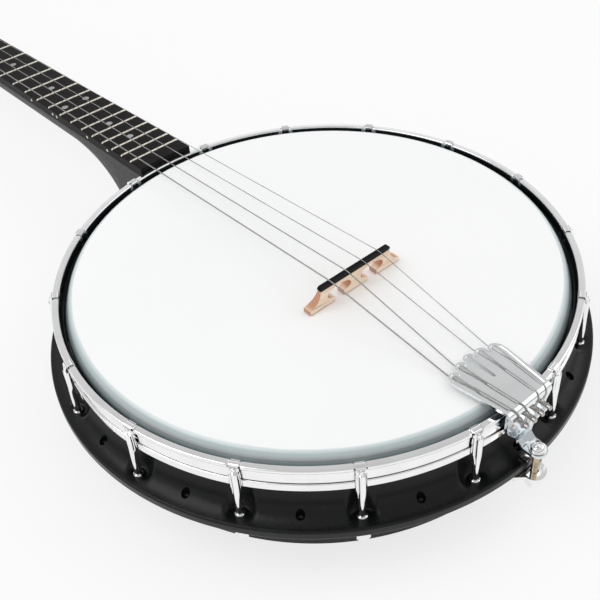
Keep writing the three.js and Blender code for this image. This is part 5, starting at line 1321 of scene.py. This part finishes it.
def hex_nut(name, near, z, paint, node):
    """A chamfered nut on a stud along Y, from near outwards."""
    place = along(z=z)
    far = near + ROD_NUT_LENGTH
    chamfer, skin = 0.0009, 0.0001
    low_r, high_r = ROD_NUT_R - chamfer, ROD_NUT_R + skin
    nut = turned(name, [(0, near), (ROD_NUT_R, near), (ROD_NUT_R, far), (0, far)], HEX_SIDES, place)
    trim(nut, turned("barrel", [(0, near - skin), (low_r, near - skin), (high_r, near + chamfer),
                                (high_r, far - chamfer), (low_r, far + skin), (0, far + skin)], 48, place))
    cut(nut, rod("bore", STUD_R + GAP, near - OVER, far + OVER, place))
    rounded(nut, 0.00015, 1, 32)
    dress(nut, paint, "steel", node, degrees=25)


def stud_thread(low, high):
    """A stud's thread, short of both its ends by the width of their chamfers."""
    return thread(STUD_R, low + STUD_EDGE, high - STUD_EDGE, STUD_PITCH, STUD_DEPTH)


def stud(name, low, high, z, line, paint, node):
    """A rod along Y with chamfered ends, and line as the profile between them."""
    inner = STUD_R - STUD_EDGE
    piece = turned(name, [(0, low), (inner, low), *line, (inner, high), (0, high)], ROD_SIDES, along(z=z))
    dress(piece, paint, "steel", node, degrees=30)


def rod_and_bolts(paint):
    end = NUT_SEAT_Y - ROD_NUT_LENGTH - GAP
    narrow = ROD_R - STUD_EDGE
    middle = [(STUD_R, -end), (narrow, -end), (ROD_R, STUD_EDGE - end), (ROD_R, end - STUD_EDGE),
              (narrow, end), (STUD_R, end)]
    low, high = ROD_LOW.y - POT_Y, ROD_HIGH.y - POT_Y
    line = [*stud_thread(low, -end), *middle, *stud_thread(end, high)]
    stud("rod", low, high, ROD_Z, line, paint, "coordinator_rod")
    inside = NUT_SEAT_Y - ROD_NUT_LENGTH
    hex_nut("heel_rod_nut", inside, ROD_Z, paint, "rod_nut_heel")
    hex_nut("tail_rod_nut", -NUT_SEAT_Y, ROD_Z, paint, "rod_nut_tail")
    hex_nut("end_rod_nut", CLAMP_WALL_Y - CLAMP_THICKNESS - GAP - ROD_NUT_LENGTH, ROD_Z, paint, "rod_end_nut")
    hex_nut("heel_bolt_nut", inside, HEEL_BOLT_Z, paint, "heel_nut")
    low, high = (corner.y - POT_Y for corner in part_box("heel_bolt"))
    stud("heel_stud", low, high, HEEL_BOLT_Z, stud_thread(low, high), paint, "heel_bolt")


# Neck
BOARD_START_Y = LIP_OUTER_R + GAP + GAP
BOARD_HOLLOW = 0.0042
BOARD_THICKNESS = 0.0055
NECK_TOP = -BOARD_THICKNESS - GAP
HALF_AT_BODY = 0.0194
HALF_AT_NUT = 0.0155
DEPTH_AT_BODY = 0.0232
DEPTH_AT_NUT = 0.0195
HEEL_DEPTH = 0.066
HEEL_SPAN = 0.060
HEEL_HALF = 0.011
HEEL_BLEND = 0.052
HEEL_BOTTOM = 0.007
THROAT_Y = HOOP_OUTER_R + 0.0984
ROOT_Y = RIM_OUTER_R - 0.0214
VOLUTE = 0.004
VOLUTE_LENGTH = 0.026
SHAFT_POWER = 2.1
HEAD_LENGTH = 0.152
HEAD_HALF = 0.034
HEAD_THICKNESS = 0.0135
OVERLAY = 0.0018
HEAD_BACK = -OVERLAY - GAP - HEAD_THICKNESS
HEAD_SHARES = ((0.45, -0.02), (0.47, 0.05), (0.62, 0.13), (0.88, 0.23), (0.95, 0.36), (0.9, 0.52),
               (0.93, 0.7), (1, 0.86), (0.86, 0.94), (0.52, 0.94), (0.22, 0.97), (0, 1))


def half_width(y):
    return HALF_AT_BODY + (HALF_AT_NUT - HALF_AT_BODY) * (y - BOARD_START_Y) / (NUT_Y - BOARD_START_Y)


def shaft_depth(y):
    return DEPTH_AT_BODY + (DEPTH_AT_NUT - DEPTH_AT_BODY) * (y - THROAT_Y) / (NUT_Y - THROAT_Y)


def neck_ring(y, depth, bottom_half):
    """One cross-section: a D with a flat top."""
    half = half_width(y)
    power = 2 / SHAFT_POWER
    right = []
    for k in range(25):
        angle = QUARTER_TURN * k / 24
        x = bottom_half + (half - bottom_half) * math.cos(angle) ** power
        right.append((x, y, NECK_TOP - (depth + NECK_TOP) * math.sin(angle) ** power))
    return right + [(-x, y, z) for x, y, z in reversed(right)]


def neck_rings():
    rings = [neck_ring(ROOT_Y, HEEL_DEPTH, HEEL_HALF)]
    for k in range(33):
        angle = QUARTER_TURN * (1 - k / 32)
        y = THROAT_Y - HEEL_SPAN * math.sin(angle)
        depth = DEPTH_AT_BODY + (HEEL_DEPTH - DEPTH_AT_BODY) * (1 - math.cos(angle))
        spread = held((THROAT_Y - y) / HEEL_BLEND)
        rings.append(neck_ring(y, depth, HEEL_HALF * spread))
    shaft_end = NUT_Y - VOLUTE_LENGTH
    for k in range(1, 9):
        y = THROAT_Y + (shaft_end - THROAT_Y) * k / 8
        rings.append(neck_ring(y, shaft_depth(y), 0))
    end = NUT_Y + NUT_THICKNESS + 0.0015
    for k in range(1, 17):
        share = k / 16
        y = shaft_end + (end - shaft_end) * share
        rings.append(neck_ring(y, shaft_depth(y) + VOLUTE * math.sin(share * HALF_TURN), 0))
    return rings


def head_outline():
    right = catmull([(x * HEAD_HALF, y * HEAD_LENGTH) for x, y in HEAD_SHARES], 88)
    return right[:-1] + [(0, HEAD_LENGTH)] + [(-x, y) for x, y in reversed(right[:-1])]


POST_X = 0.0175
POST_LOW_Y = 0.046
POST_HIGH_Y = 0.100
BUSHING_HOLE_R = 0.005


def tuner_places():
    """Where each string's machine stands in the headstock frame. Outer strings take the lower posts."""
    return [(side, side * POST_X, y)
            for side, y in ((-1, POST_LOW_Y), (-1, POST_HIGH_Y), (1, POST_HIGH_Y), (1, POST_LOW_Y))]


def bushing_holes(low, high):
    return [rod("bushing_hole", BUSHING_HOLE_R, low, high, shift(x, y, 0, HEAD))
            for _, x, y in tuner_places()]


def neck(paint):
    """The shaft with its heel and head in one, cut to sit against the rim, the flange and the hoop."""
    blank = loft("neck_wood", neck_rings(), NECK)
    core = plate("core", head_outline(), HEAD_BACK, HEAD_BACK + HEAD_THICKNESS, HEAD)
    rounded(core, 0.0016, 3, 50)
    end = NUT_Y + NUT_THICKNESS + GAP
    wide = 0.05
    cut(core, box("trim", (-wide, end - 0.08, NECK_TOP), (wide, end, NECK_TOP + 0.05), NECK))
    join(blank, core)
    rim_r, seat_r, lip_r = RIM_OUTER_R + GAP, FLANGE_OUTER_R + GAP, LIP_OUTER_R + GAP
    low, high = -0.02, 0.14
    cove = arc(COVE_OUTER_R, COVE_TOP, COVE_INNER_R - COVE_OUTER_R + GAP, COVE_BOTTOM - COVE_TOP + GAP,
               QUARTER_TURN, 0, 10)
    seat = [(0, low), (rim_r, low), (rim_r, FLANGE_BOTTOM - GAP), (seat_r, FLANGE_BOTTOM - GAP),
            (seat_r, FLANGE_TOP + GAP), *((r, z + GAP) for r, z in cove), (lip_r, COVE_TOP + GAP),
            (lip_r, high), (0, high)]
    channel = 0.0035
    holes = bushing_holes(HEAD_BACK - OVER, OVER)
    cut(blank, turned("seat", seat, SEAT_SIDES, POT))
    cut(blank, *holes,
        box("under", (-wide, RIM_INNER_R, -0.05), (wide, 0.32, HEEL_BOTTOM), POT),
        rod("stud", STUD_HOLE_R, RIM_INNER_R, RIM_OUTER_R + 0.032, along(z=ROD_Z)),
        rod("bolt", STUD_HOLE_R, RIM_INNER_R, RIM_OUTER_R + 0.036, along(z=HEEL_BOLT_Z)),
        box("channel", (-channel, RIM_OUTER_R + 0.0386, NECK_TOP - 0.007),
            (channel, NUT_Y + 0.016, 0.01), NECK))
    dress(blank, paint, "neck", "neck", degrees=30)


# Fingerboard
FRET_HALF = 0.0007
FRET_HEIGHT = 0.0011
DOT_R = 0.00245
SIDE_DOT_R = 0.0011
SINGLE_DOTS = (3, 5, 7, 10, 15, 17)
DOUBLE_DOT = 12
DOUBLE_SPREAD = 0.0088
SIDE_SPREAD = 0.003
DOT_LOW = -0.0006
FRET_ROOT = -0.0005
FRET_DRESSED = 0.0012


def fret_y(number):
    """Where a fret lies, from equal temperament."""
    return SCALE_START + SCALE_LENGTH * 2 ** (-number / 12)


def between_frets(number):
    return (fret_y(number) + fret_y(number - 1)) / 2


def fingerboard(paint):
    end = NUT_Y - GAP
    start = BOARD_START_Y - BOARD_HOLLOW
    near, far = half_width(start), half_width(end)
    outline = [(-near, start), (near, start), (far, end), (-far, end)]
    board = plate("board", outline, -BOARD_THICKNESS, 0, NECK)
    cut(board, rod("hoop_curve", LIP_OUTER_R + GAP, HOOP_TOP - 0.01, HOOP_TOP + 0.03, POT, SEAT_SIDES))
    rounded(board, 0.0004, 2)
    dress(board, paint, "board", "fingerboard")


def fret(number):
    """A wire with a round crown that is dressed down at both ends."""
    y = fret_y(number)
    half = half_width(y) - 0.0002
    rings = []
    for k in range(25):
        x = -math.cos(HALF_TURN * k / 24) * half
        left = half - abs(x)
        drop = 1.0
        if left < FRET_DRESSED:
            drop = min(1.0, math.sqrt(max(0.0, left * (FRET_DRESSED * 2 - left))) / FRET_DRESSED)
        rise = max(0.00002, FRET_HEIGHT * drop)
        wide = FRET_HALF * (0.75 + 0.25 * drop)
        line = arc(0, 0, wide, rise, HALF_TURN, 0, 10) + [(wide, FRET_ROOT), (-wide, FRET_ROOT)]
        rings.append([(x, y + dy, z) for dy, z in line])
    return loft("fret", rings, NECK)


def frets(paint):
    numbers = [n for n in range(1, FRET_COUNT + 1) if fret_y(n) - FRET_HALF > BOARD_START_Y]
    wires = merge("frets", *(fret(n) for n in numbers))
    dress(wires, paint, "steel", degrees=50)


def dots(pearl, white):
    """Pearl dots on the board, and small white ones along its bass side."""
    places = [(0, between_frets(n)) for n in SINGLE_DOTS]
    places += [(side * DOUBLE_SPREAD, between_frets(DOUBLE_DOT)) for side in (-1, 1)]
    disc = [(0, DOT_LOW), (DOT_R, DOT_LOW), (DOT_R, 0.00002), (DOT_R - 0.0002, 0.00006), (0, 0.00008)]
    face = merge("pearl_dots", *(turned("dot", disc, 32, shift(x, y, 0, NECK)) for x, y in places))
    dress(face, pearl, "bone")
    edge = [between_frets(n) for n in SINGLE_DOTS]
    edge += [between_frets(DOUBLE_DOT) + side * SIDE_SPREAD for side in (-1, 1)]
    small = [(0, DOT_LOW), (SIDE_DOT_R, DOT_LOW), (SIDE_DOT_R, 0.00002), (0, 0.00006)]
    outwards = Matrix.Rotation(-QUARTER_TURN, 4, "Y")
    bass = merge("side_dots", *(
        turned("dot", small, 20, shift(-half_width(y), y, -BOARD_THICKNESS / 2, NECK) @ outwards)
        for y in edge))
    dress(bass, white, "bone")


NUT_RISE = 0.0017
NUT_SPACING = 0.008


def string_nut(paint):
    half = half_width(NUT_Y)
    end, crown = NUT_Y + NUT_THICKNESS, 0.002
    side = [(NUT_Y, -BOARD_THICKNESS), (end, -BOARD_THICKNESS),
            *arc(end - crown, NUT_RISE - crown, crown, crown, 0, QUARTER_TURN, 6),
            (NUT_Y + 0.0003, NUT_RISE), (NUT_Y, NUT_RISE - 0.0003)]
    block = plate("bone_nut", side, -half, half, NECK @ SIDE)
    cut(block, *(rod("notch", radius + 0.0001, NUT_Y - OVER * 2, end + OVER * 2,
                     along(string_x(i, NUT_SPACING), 0, NUT_RISE + 0.0001, NECK), 16)
                 for i, radius in enumerate(STRING_RADII)))
    rounded(block, 0.0002, 2, 40)
    dress(block, paint, "bone", "nut", degrees=32)


# Headstock
COVER_HALF = 0.017
COVER_LENGTH = 0.030
COVER_START = 0.0025
COVER_SHARES = ((0.36, 0), (0.5, 0.22), (0.4, 0.7), (0.14, 1))
COVER_THICKNESS = 0.0018


def overlay(paint):
    """The head's ebony face, with the truss rod's opening behind the nut."""
    sheet = plate("head_veneer", head_outline(), -OVERLAY, 0, HEAD)
    rounded(sheet, 0.0005, 2, 50)
    start = NUT_THICKNESS / 5
    deep, opening = 0.01, 0.0035
    holes = bushing_holes(-OVER * 4, OVER * 2)
    cut(sheet, box("trim", (-0.06, -0.03, -deep), (0.06, start, deep), HEAD))
    cut(sheet, *holes, box("exit", (-opening, start - 0.002, -deep), (opening, start + 0.014, deep), HEAD))
    dress(sheet, paint, "ebony", "headstock_overlay", degrees=30)


def cover(paint, screw_paint):
    """The truss rod's cover and its two screws."""
    right = catmull([(x * COVER_HALF, COVER_START + y * COVER_LENGTH) for x, y in COVER_SHARES], 24)
    top = GAP + COVER_THICKNESS
    piece = plate("cover", mirrored(right), GAP, top, HEAD)
    rounded(piece, 0.0005, 3, 40)
    dress(piece, paint, "ebony", "truss_rod_cover", degrees=30)
    line = [(0, -0.0004), (0.0012, -0.0004), (0.0012, 0.0001), (0.0008, 0.0005), (0, 0.0006)]
    for i, y in enumerate((COVER_START + 0.0035, COVER_START + COVER_LENGTH - 0.004)):
        place = shift(0, y, top, HEAD)
        screw = turned(f"cover_screw_{i + 1}", line, 20, place)
        cut_cross(screw, 0.0008, 0.00015, 0.0003, 0.001, place)
        dress(screw, screw_paint, "steel")


# Tuning machines
GEAR_R = 0.0062
WORM_R = 0.0025
GEAR_MESH = GEAR_R + GAP + WORM_R
HOUSING_WALL = 0.0012
HOUSING_HALF_X = GEAR_R + 0.001 + HOUSING_WALL
HOUSING_TOP = HEAD_BACK - GAP
HOUSING_DEPTH = 0.0104
HOUSING_BOTTOM = HOUSING_TOP - HOUSING_DEPTH
WORM_Z = HOUSING_TOP - (HOUSING_DEPTH - HOUSING_WALL) / 2
HOUSING_LOW_Y = -(GEAR_R + GAP * 2 + HOUSING_WALL)
HOUSING_HIGH_Y = GEAR_MESH + WORM_R + GAP * 2 + HOUSING_WALL
BUTTON_START = HEAD_HALF - POST_X + 0.0034
SHAFT_R = 0.002
BUTTON_HALF_X = 0.0066
BUTTON_HALF_Y = 0.0088
BUTTON_HALF_Z = 0.0032
BOSS_R = 0.0034
BOSS_END = HOUSING_HALF_X + 0.003
EAR_R = 0.0036
EAR_Y = HOUSING_LOW_Y - 0.004
EAR_LOW = HOUSING_TOP - HOUSING_WALL * 2
POST_R = 0.003
POST_WAIST_R = 0.0025
POST_RISE = 0.0155
GEAR_TEETH = 12
GEAR_HALF = 0.002
WORM_HALF = 0.0055
BUTTON_STEPS = 24
BUTTON_SIDES = 40


def shaft_frame(place, side):
    """Where a machine's worm shaft lies. The left machines are mirror images of the right ones."""
    return place @ Matrix.Scale(side, 4, (1, 0, 0)) @ Matrix.Translation((0, GEAR_MESH, WORM_Z))


def housing_outline(inset, corner, steps):
    wide, low, high = HOUSING_HALF_X - inset, HOUSING_LOW_Y + inset, HOUSING_HIGH_Y - inset
    return softened([(-wide, low), (wide, low), (wide, high), (-wide, high)], corner, steps)


def tuner_housing(i, side, place, paint):
    """A box over worm and gear with one ear, its screw, and a boss for the button's shaft."""
    shell = plate("housing", housing_outline(0, 0.0035, 8), HOUSING_BOTTOM, HOUSING_TOP, place)
    ear = rod("ear", EAR_R, EAR_LOW, HOUSING_TOP, shift(0, EAR_Y, 0, place))
    web = box("web", (-EAR_R, EAR_Y, EAR_LOW), (EAR_R, HOUSING_LOW_Y + 0.001, HOUSING_TOP), place)
    boss_place = shaft_frame(place, side) @ ACROSS
    boss_line = [(0, HOUSING_HALF_X - 0.001), (BOSS_R, HOUSING_HALF_X - 0.001),
                 (BOSS_R, HOUSING_HALF_X + 0.0022), (0.0029, BOSS_END), (0, BOSS_END)]
    boss = turned("boss", boss_line, ROD_SIDES, boss_place)
    join(shell, ear, web)
    rounded(shell, 0.0012, 4, 40)
    join(shell, boss)
    pocket = housing_outline(HOUSING_WALL, 0.0023, 6)
    cut(shell, plate("pocket", pocket, HOUSING_BOTTOM + HOUSING_WALL, HOUSING_TOP + OVER, place))
    cut(shell, rod("bore", SHAFT_R + GAP, 0, HOUSING_HALF_X + 0.005, boss_place))
    shell.name = f"machine_shell_{i}"
    dress(shell, paint, "chrome", f"tuner_housing_{i}", degrees=32)
    screw_place = shift(0, EAR_Y, EAR_LOW, place)
    screw = turned(f"machine_screw_{i}", [(0, 0.0003), (0.0019, 0.0003), (0.0019, -0.0003), (0.0013, -0.001),
                                          (0, -0.0012)], 24, screw_place)
    cut_cross(screw, 0.0012, 0.0002, -0.002, -0.0007, screw_place)
    dress(screw, paint, "chrome")


def tuner_bushing(i, place, paint):
    bore, body, collar = 0.00335, 0.0047, 0.0063
    high = GAP + 0.0024
    curve = 0.0009
    profile = [(bore, -0.006), (body, -0.006), (body, GAP), (collar, GAP), (collar, high - 0.0013),
               *arc(collar - curve, high - curve, curve, curve, 0, QUARTER_TURN, 5), (bore + 0.0004, high),
               (bore, high - 0.0004)]
    dress(turned(f"bushing_{i}", profile, 40, place), paint, "chrome", f"tuner_bushing_{i}")


def string_post(i, place, paint):
    """A waisted post with a string hole and a slotted end, and its gear below in the housing."""
    bottom = HOUSING_BOTTOM + HOUSING_WALL + GAP
    waist_high, waist_low = 0.0114, 0.0052
    line = []
    for k in range(13):
        share = k / 12
        z = waist_high - (waist_high - waist_low) * share
        line.append((POST_R - (POST_R - POST_WAIST_R) * math.sin(share * HALF_TURN) ** 0.6, z))
    profile = [(0, POST_RISE), (POST_R - 0.0009, POST_RISE), (POST_R - 0.0003, POST_RISE - 0.0002),
               (POST_R, POST_RISE - 0.0007), *line, (POST_R, bottom), (0, bottom)]
    body = turned("post", profile, 40, place)
    root = GEAR_R - 0.0011
    outline = []
    for k in range(GEAR_TEETH):
        for share, reach in ((0, root), (0.22, GEAR_R), (0.5, GEAR_R), (0.72, root)):
            angle = (k + share) * FULL_TURN / GEAR_TEETH
            outline.append((reach * math.cos(angle), reach * math.sin(angle)))
    join(body, plate("gear", outline, WORM_Z - GEAR_HALF, WORM_Z + GEAR_HALF, place))
    reach, slot_half = POST_R + OVER, 0.0003
    cut(body, rod("hole", 0.0008, -reach, reach, along(0, 0, 0.0128, place), 16),
        box("slot", (-reach, -slot_half, POST_RISE - 0.0009), (reach, slot_half, POST_RISE + OVER), place))
    rounded(body, 0.00015, 2, 50)
    body.name = f"capstan_{i}"
    dress(body, paint, "chrome", f"string_post_{i}", body=f"post_{i}", degrees=35)


def button_ring(k, start):
    """Cross-section k of the button, which is flat, waisted near its shaft and dished on both sides."""
    angle = HALF_TURN * k / BUTTON_STEPS
    reach = math.sin(angle) ** 0.62
    x = -BUTTON_HALF_X * math.cos(angle)
    pinch = 1 - 0.28 * math.exp(-(((x + BUTTON_HALF_X) / 0.0035) ** 2))
    ring = []
    for s in range(BUTTON_SIDES):
        turn = FULL_TURN * s / BUTTON_SIDES
        c, d = math.cos(turn), math.sin(turn)
        y = math.copysign(abs(c) ** 0.85, c) * BUTTON_HALF_Y * max(reach, 0.04) * pinch
        dish = 0.78 + 0.22 * abs(c) ** 2
        z = math.copysign(abs(d) ** 0.7, d) * BUTTON_HALF_Z * max(reach, 0.04) ** 0.5 * dish
        ring.append((start + BUTTON_HALF_X + x, y, z))
    return ring


def tuner_button(i, side, place, paint):
    """A button on its shaft, which ends in the worm."""
    frame_here = shaft_frame(place, side)
    inner = -(HOUSING_HALF_X - HOUSING_WALL - GAP * 2)
    end = BUTTON_START + 0.0026
    neck_r, collar_r = 0.0024, 0.003
    line = [(0, inner), (SHAFT_R, inner), (SHAFT_R, -WORM_HALF),
            *thread(WORM_R, -WORM_HALF, WORM_HALF, 0.0016, 0.0007), (SHAFT_R, WORM_HALF),
            (SHAFT_R, BUTTON_START), (0.0027, BUTTON_START), (collar_r, BUTTON_START + 0.0004),
            (collar_r, end), (neck_r, end + 0.0026), (0, end + 0.0026)]
    shaft = turned("shaft", line, ROD_SIDES, frame_here @ ACROSS)
    rings = [button_ring(k, end) for k in range(BUTTON_STEPS + 1)]
    join(shaft, loft("key", rings, frame_here))
    shaft.name = f"button_key_{i}"
    dress(shaft, paint, "chrome", f"tuner_button_{i}", body=f"button_{i}", degrees=38)


def tuners(paint):
    for i, (side, x, y) in enumerate(tuner_places(), 1):
        place = shift(x, y, 0, HEAD)
        tuner_housing(i, side, place, paint)
        tuner_bushing(i, place, paint)
        string_post(i, place, paint)
        tuner_button(i, side, place, paint)


# Strings
WINDING_TURNS = 2.5
WINDING_STEPS = 32
WINDING_CLEAR = 0.00045
WINDING_TOP = 0.010


def winding(i, start):
    """The string meets the inner side of its post and winds down it. Points are in the headstock frame."""
    side, x, y = tuner_places()[i]
    radius = STRING_RADII[i]
    reach = POST_WAIST_R + GAP + radius
    towards = Vector(((x - start.x) * -side, y - start.y))
    heading = math.atan2(towards.y, towards.x) - math.asin(reach / towards.length)
    pitch = radius * 2 + WINDING_CLEAR
    points = []
    for k in range(int(WINDING_TURNS * WINDING_STEPS) + 1):
        angle = heading - QUARTER_TURN + k * FULL_TURN / WINDING_STEPS
        z = WINDING_TOP - pitch * k / WINDING_STEPS
        points.append(Vector((x - side * reach * math.cos(angle), y + reach * math.sin(angle), z)))
    return points


def string_path(i):
    """From the pin over the plate, through its slot, over bridge and nut, and round the post."""
    clear = GAP / 3 + STRING_RADII[i]
    lift, under = PLATE_TOP + clear, PLATE_TOP - PLATE_THICKNESS - clear
    reach = TAIL_BEND_R + clear
    pin_x, pin_y, pin_top = string_x(i, PIN_SPACING), TAIL_BACK_Y - clear, PIN_Z + PIN_R + clear
    front, rear = slot_ends(string_slot(i))
    path = [(pin_x, pin_y - 0.0026, pin_top - 0.0006), (pin_x, pin_y - 0.0018, pin_top),
            (pin_x, pin_y - 0.0006, pin_top + 0.0003), (pin_x, pin_y, pin_top + 0.0012)]
    bend_x = front[0] * BEND_SHARE
    skirt_x = (pin_x + bend_x) / 2
    bend = arc(TAIL_BACK_Y + TAIL_BEND_R, PLATE_TOP - TAIL_BEND_R, reach, reach, HALF_TURN, QUARTER_TURN, 8)
    path += [(skirt_x + (bend_x - skirt_x) * k / 8, y, z) for k, (y, z) in enumerate(bend)]
    path += [(*rear, lift), (rear[0], rear[1] + 0.002, lift - 0.0003),
             (front[0], front[1] - 0.001, under), (front[0], front[1] + 0.006, under - 0.0001)]
    saddle = CAP_THICKNESS / 2
    middle = (CAP_LOW.y + CAP_HIGH.y) / 2 - POT_Y
    path += [(string_x(i, STRING_SPACING), middle + side * saddle, STRING_Z) for side in (-1, 1)]
    near = NECK @ Vector((string_x(i, NUT_SPACING), NUT_Y, NUT_RISE))
    edge = NECK @ Vector((string_x(i, NUT_SPACING), NUT_Y + NUT_THICKNESS, NUT_RISE))
    points = [*(POT @ Vector(point) for point in path), near, edge]
    return points + [HEAD @ point for point in winding(i, HEAD.inverted() @ edge)]


def tail_twist(i, paint):
    """The string's own loop round its pin, drawn out to one side as it turns."""
    radius = STRING_RADII[i] * 0.9
    ring_r = PIN_R + radius + 0.0001
    centre = Vector((string_x(i, PIN_SPACING), TAIL_BACK_Y - 0.0022, PIN_Z))
    loop = [centre + Vector((ring_r * math.cos(a), -0.0002 * a / FULL_TURN, ring_r * math.sin(a)))
            for a in (QUARTER_TURN + 1.7 * FULL_TURN * k / 40 for k in range(41))]
    piece = tube(f"string_loop_{i + 1}", [POT @ point for point in loop], radius, 10, Matrix())
    dress(piece, paint, "string")


def strings(wrapped, plain):
    for i, radius in enumerate(STRING_RADII):
        paint = wrapped if i < 2 else plain
        piece = tube(f"string_wire_{i + 1}", string_path(i), radius, 12, Matrix())
        dress(piece, paint, "string", f"string_{i + 1}", degrees=60)
        tail_twist(i, paint)


# Assembly
bpy.context.scene.view_settings.view_transform = "Standard"
camera()
studio_world()
floor()
CENTRE = Vector((0, POT_Y, 0.06))
softbox("key", CENTRE + Vector((-0.9, 0.5, 1.6)), CENTRE, 1.2, 9.0)
softbox("fill", CENTRE + Vector((1.3, -0.7, 1.2)), CENTRE, 1.4, 5.0)

CHROME = plated_paint("chrome_plate", (0.93, 0.93, 0.935), 0.08, 0.00002)
NICKEL = plated_paint("nickel_plate", (0.88, 0.9, 0.905), 0.16, 0.00001)
COMPOSITE = composite_paint()
STEEL = turned_paint("turned_steel", (0.5, 0.475, 0.45), 0.2, (30, 900, 30))
BRASS = turned_paint("brass", (0.66, 0.55, 0.38), 0.16, (30, 30, 900))
EBONY = dark_wood_paint("ebony", (0.004, 0.0037, 0.004), (0.011, 0.0095, 0.01), 0.45, 14)
WIRE = wire_paint("plain_wire", (0.42, 0.42, 0.42), 0.05)
WRAPPED = wire_paint("wrapped_wire", (0.38, 0.375, 0.365), 0.0003)

pot_rim(COMPOSITE)
drum_head(film_paint())
# The hoop's second material is painted shade for its inner wall and ledge
tension_hoop(CHROME, plated_paint("painted_shade_inside", (0.035, 0.037, 0.038), 0.35))
flesh_hoop(CHROME)
hooks(CHROME)
bridge_body(maple_paint())
bridge_cap(EBONY)
tailpiece(NICKEL, STEEL)
tail_bracket(plated_paint("zinc", (0.74, 0.79, 0.83), 0.14, 0.00001), BRASS)
tail_clamp(CHROME)
tail_screw(BRASS, CHROME)
tail_nut(CHROME)
rod_and_bolts(STEEL)
neck(lacquer_paint())
fingerboard(dark_wood_paint("board", (0.005, 0.0045, 0.0045), (0.015, 0.013, 0.013), 0.5, 17))
frets(plated_paint("nickel_silver", (0.9, 0.86, 0.77), 0.16))
BONE = bone_paint()
dots(pearl_paint(), BONE)
string_nut(BONE)
overlay(EBONY)
cover(EBONY, STEEL)
tuners(CHROME)
strings(WRAPPED, WIRE)

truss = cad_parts["truss_rod"]
truss.data.materials.clear()
truss.data.materials.append(STEEL)
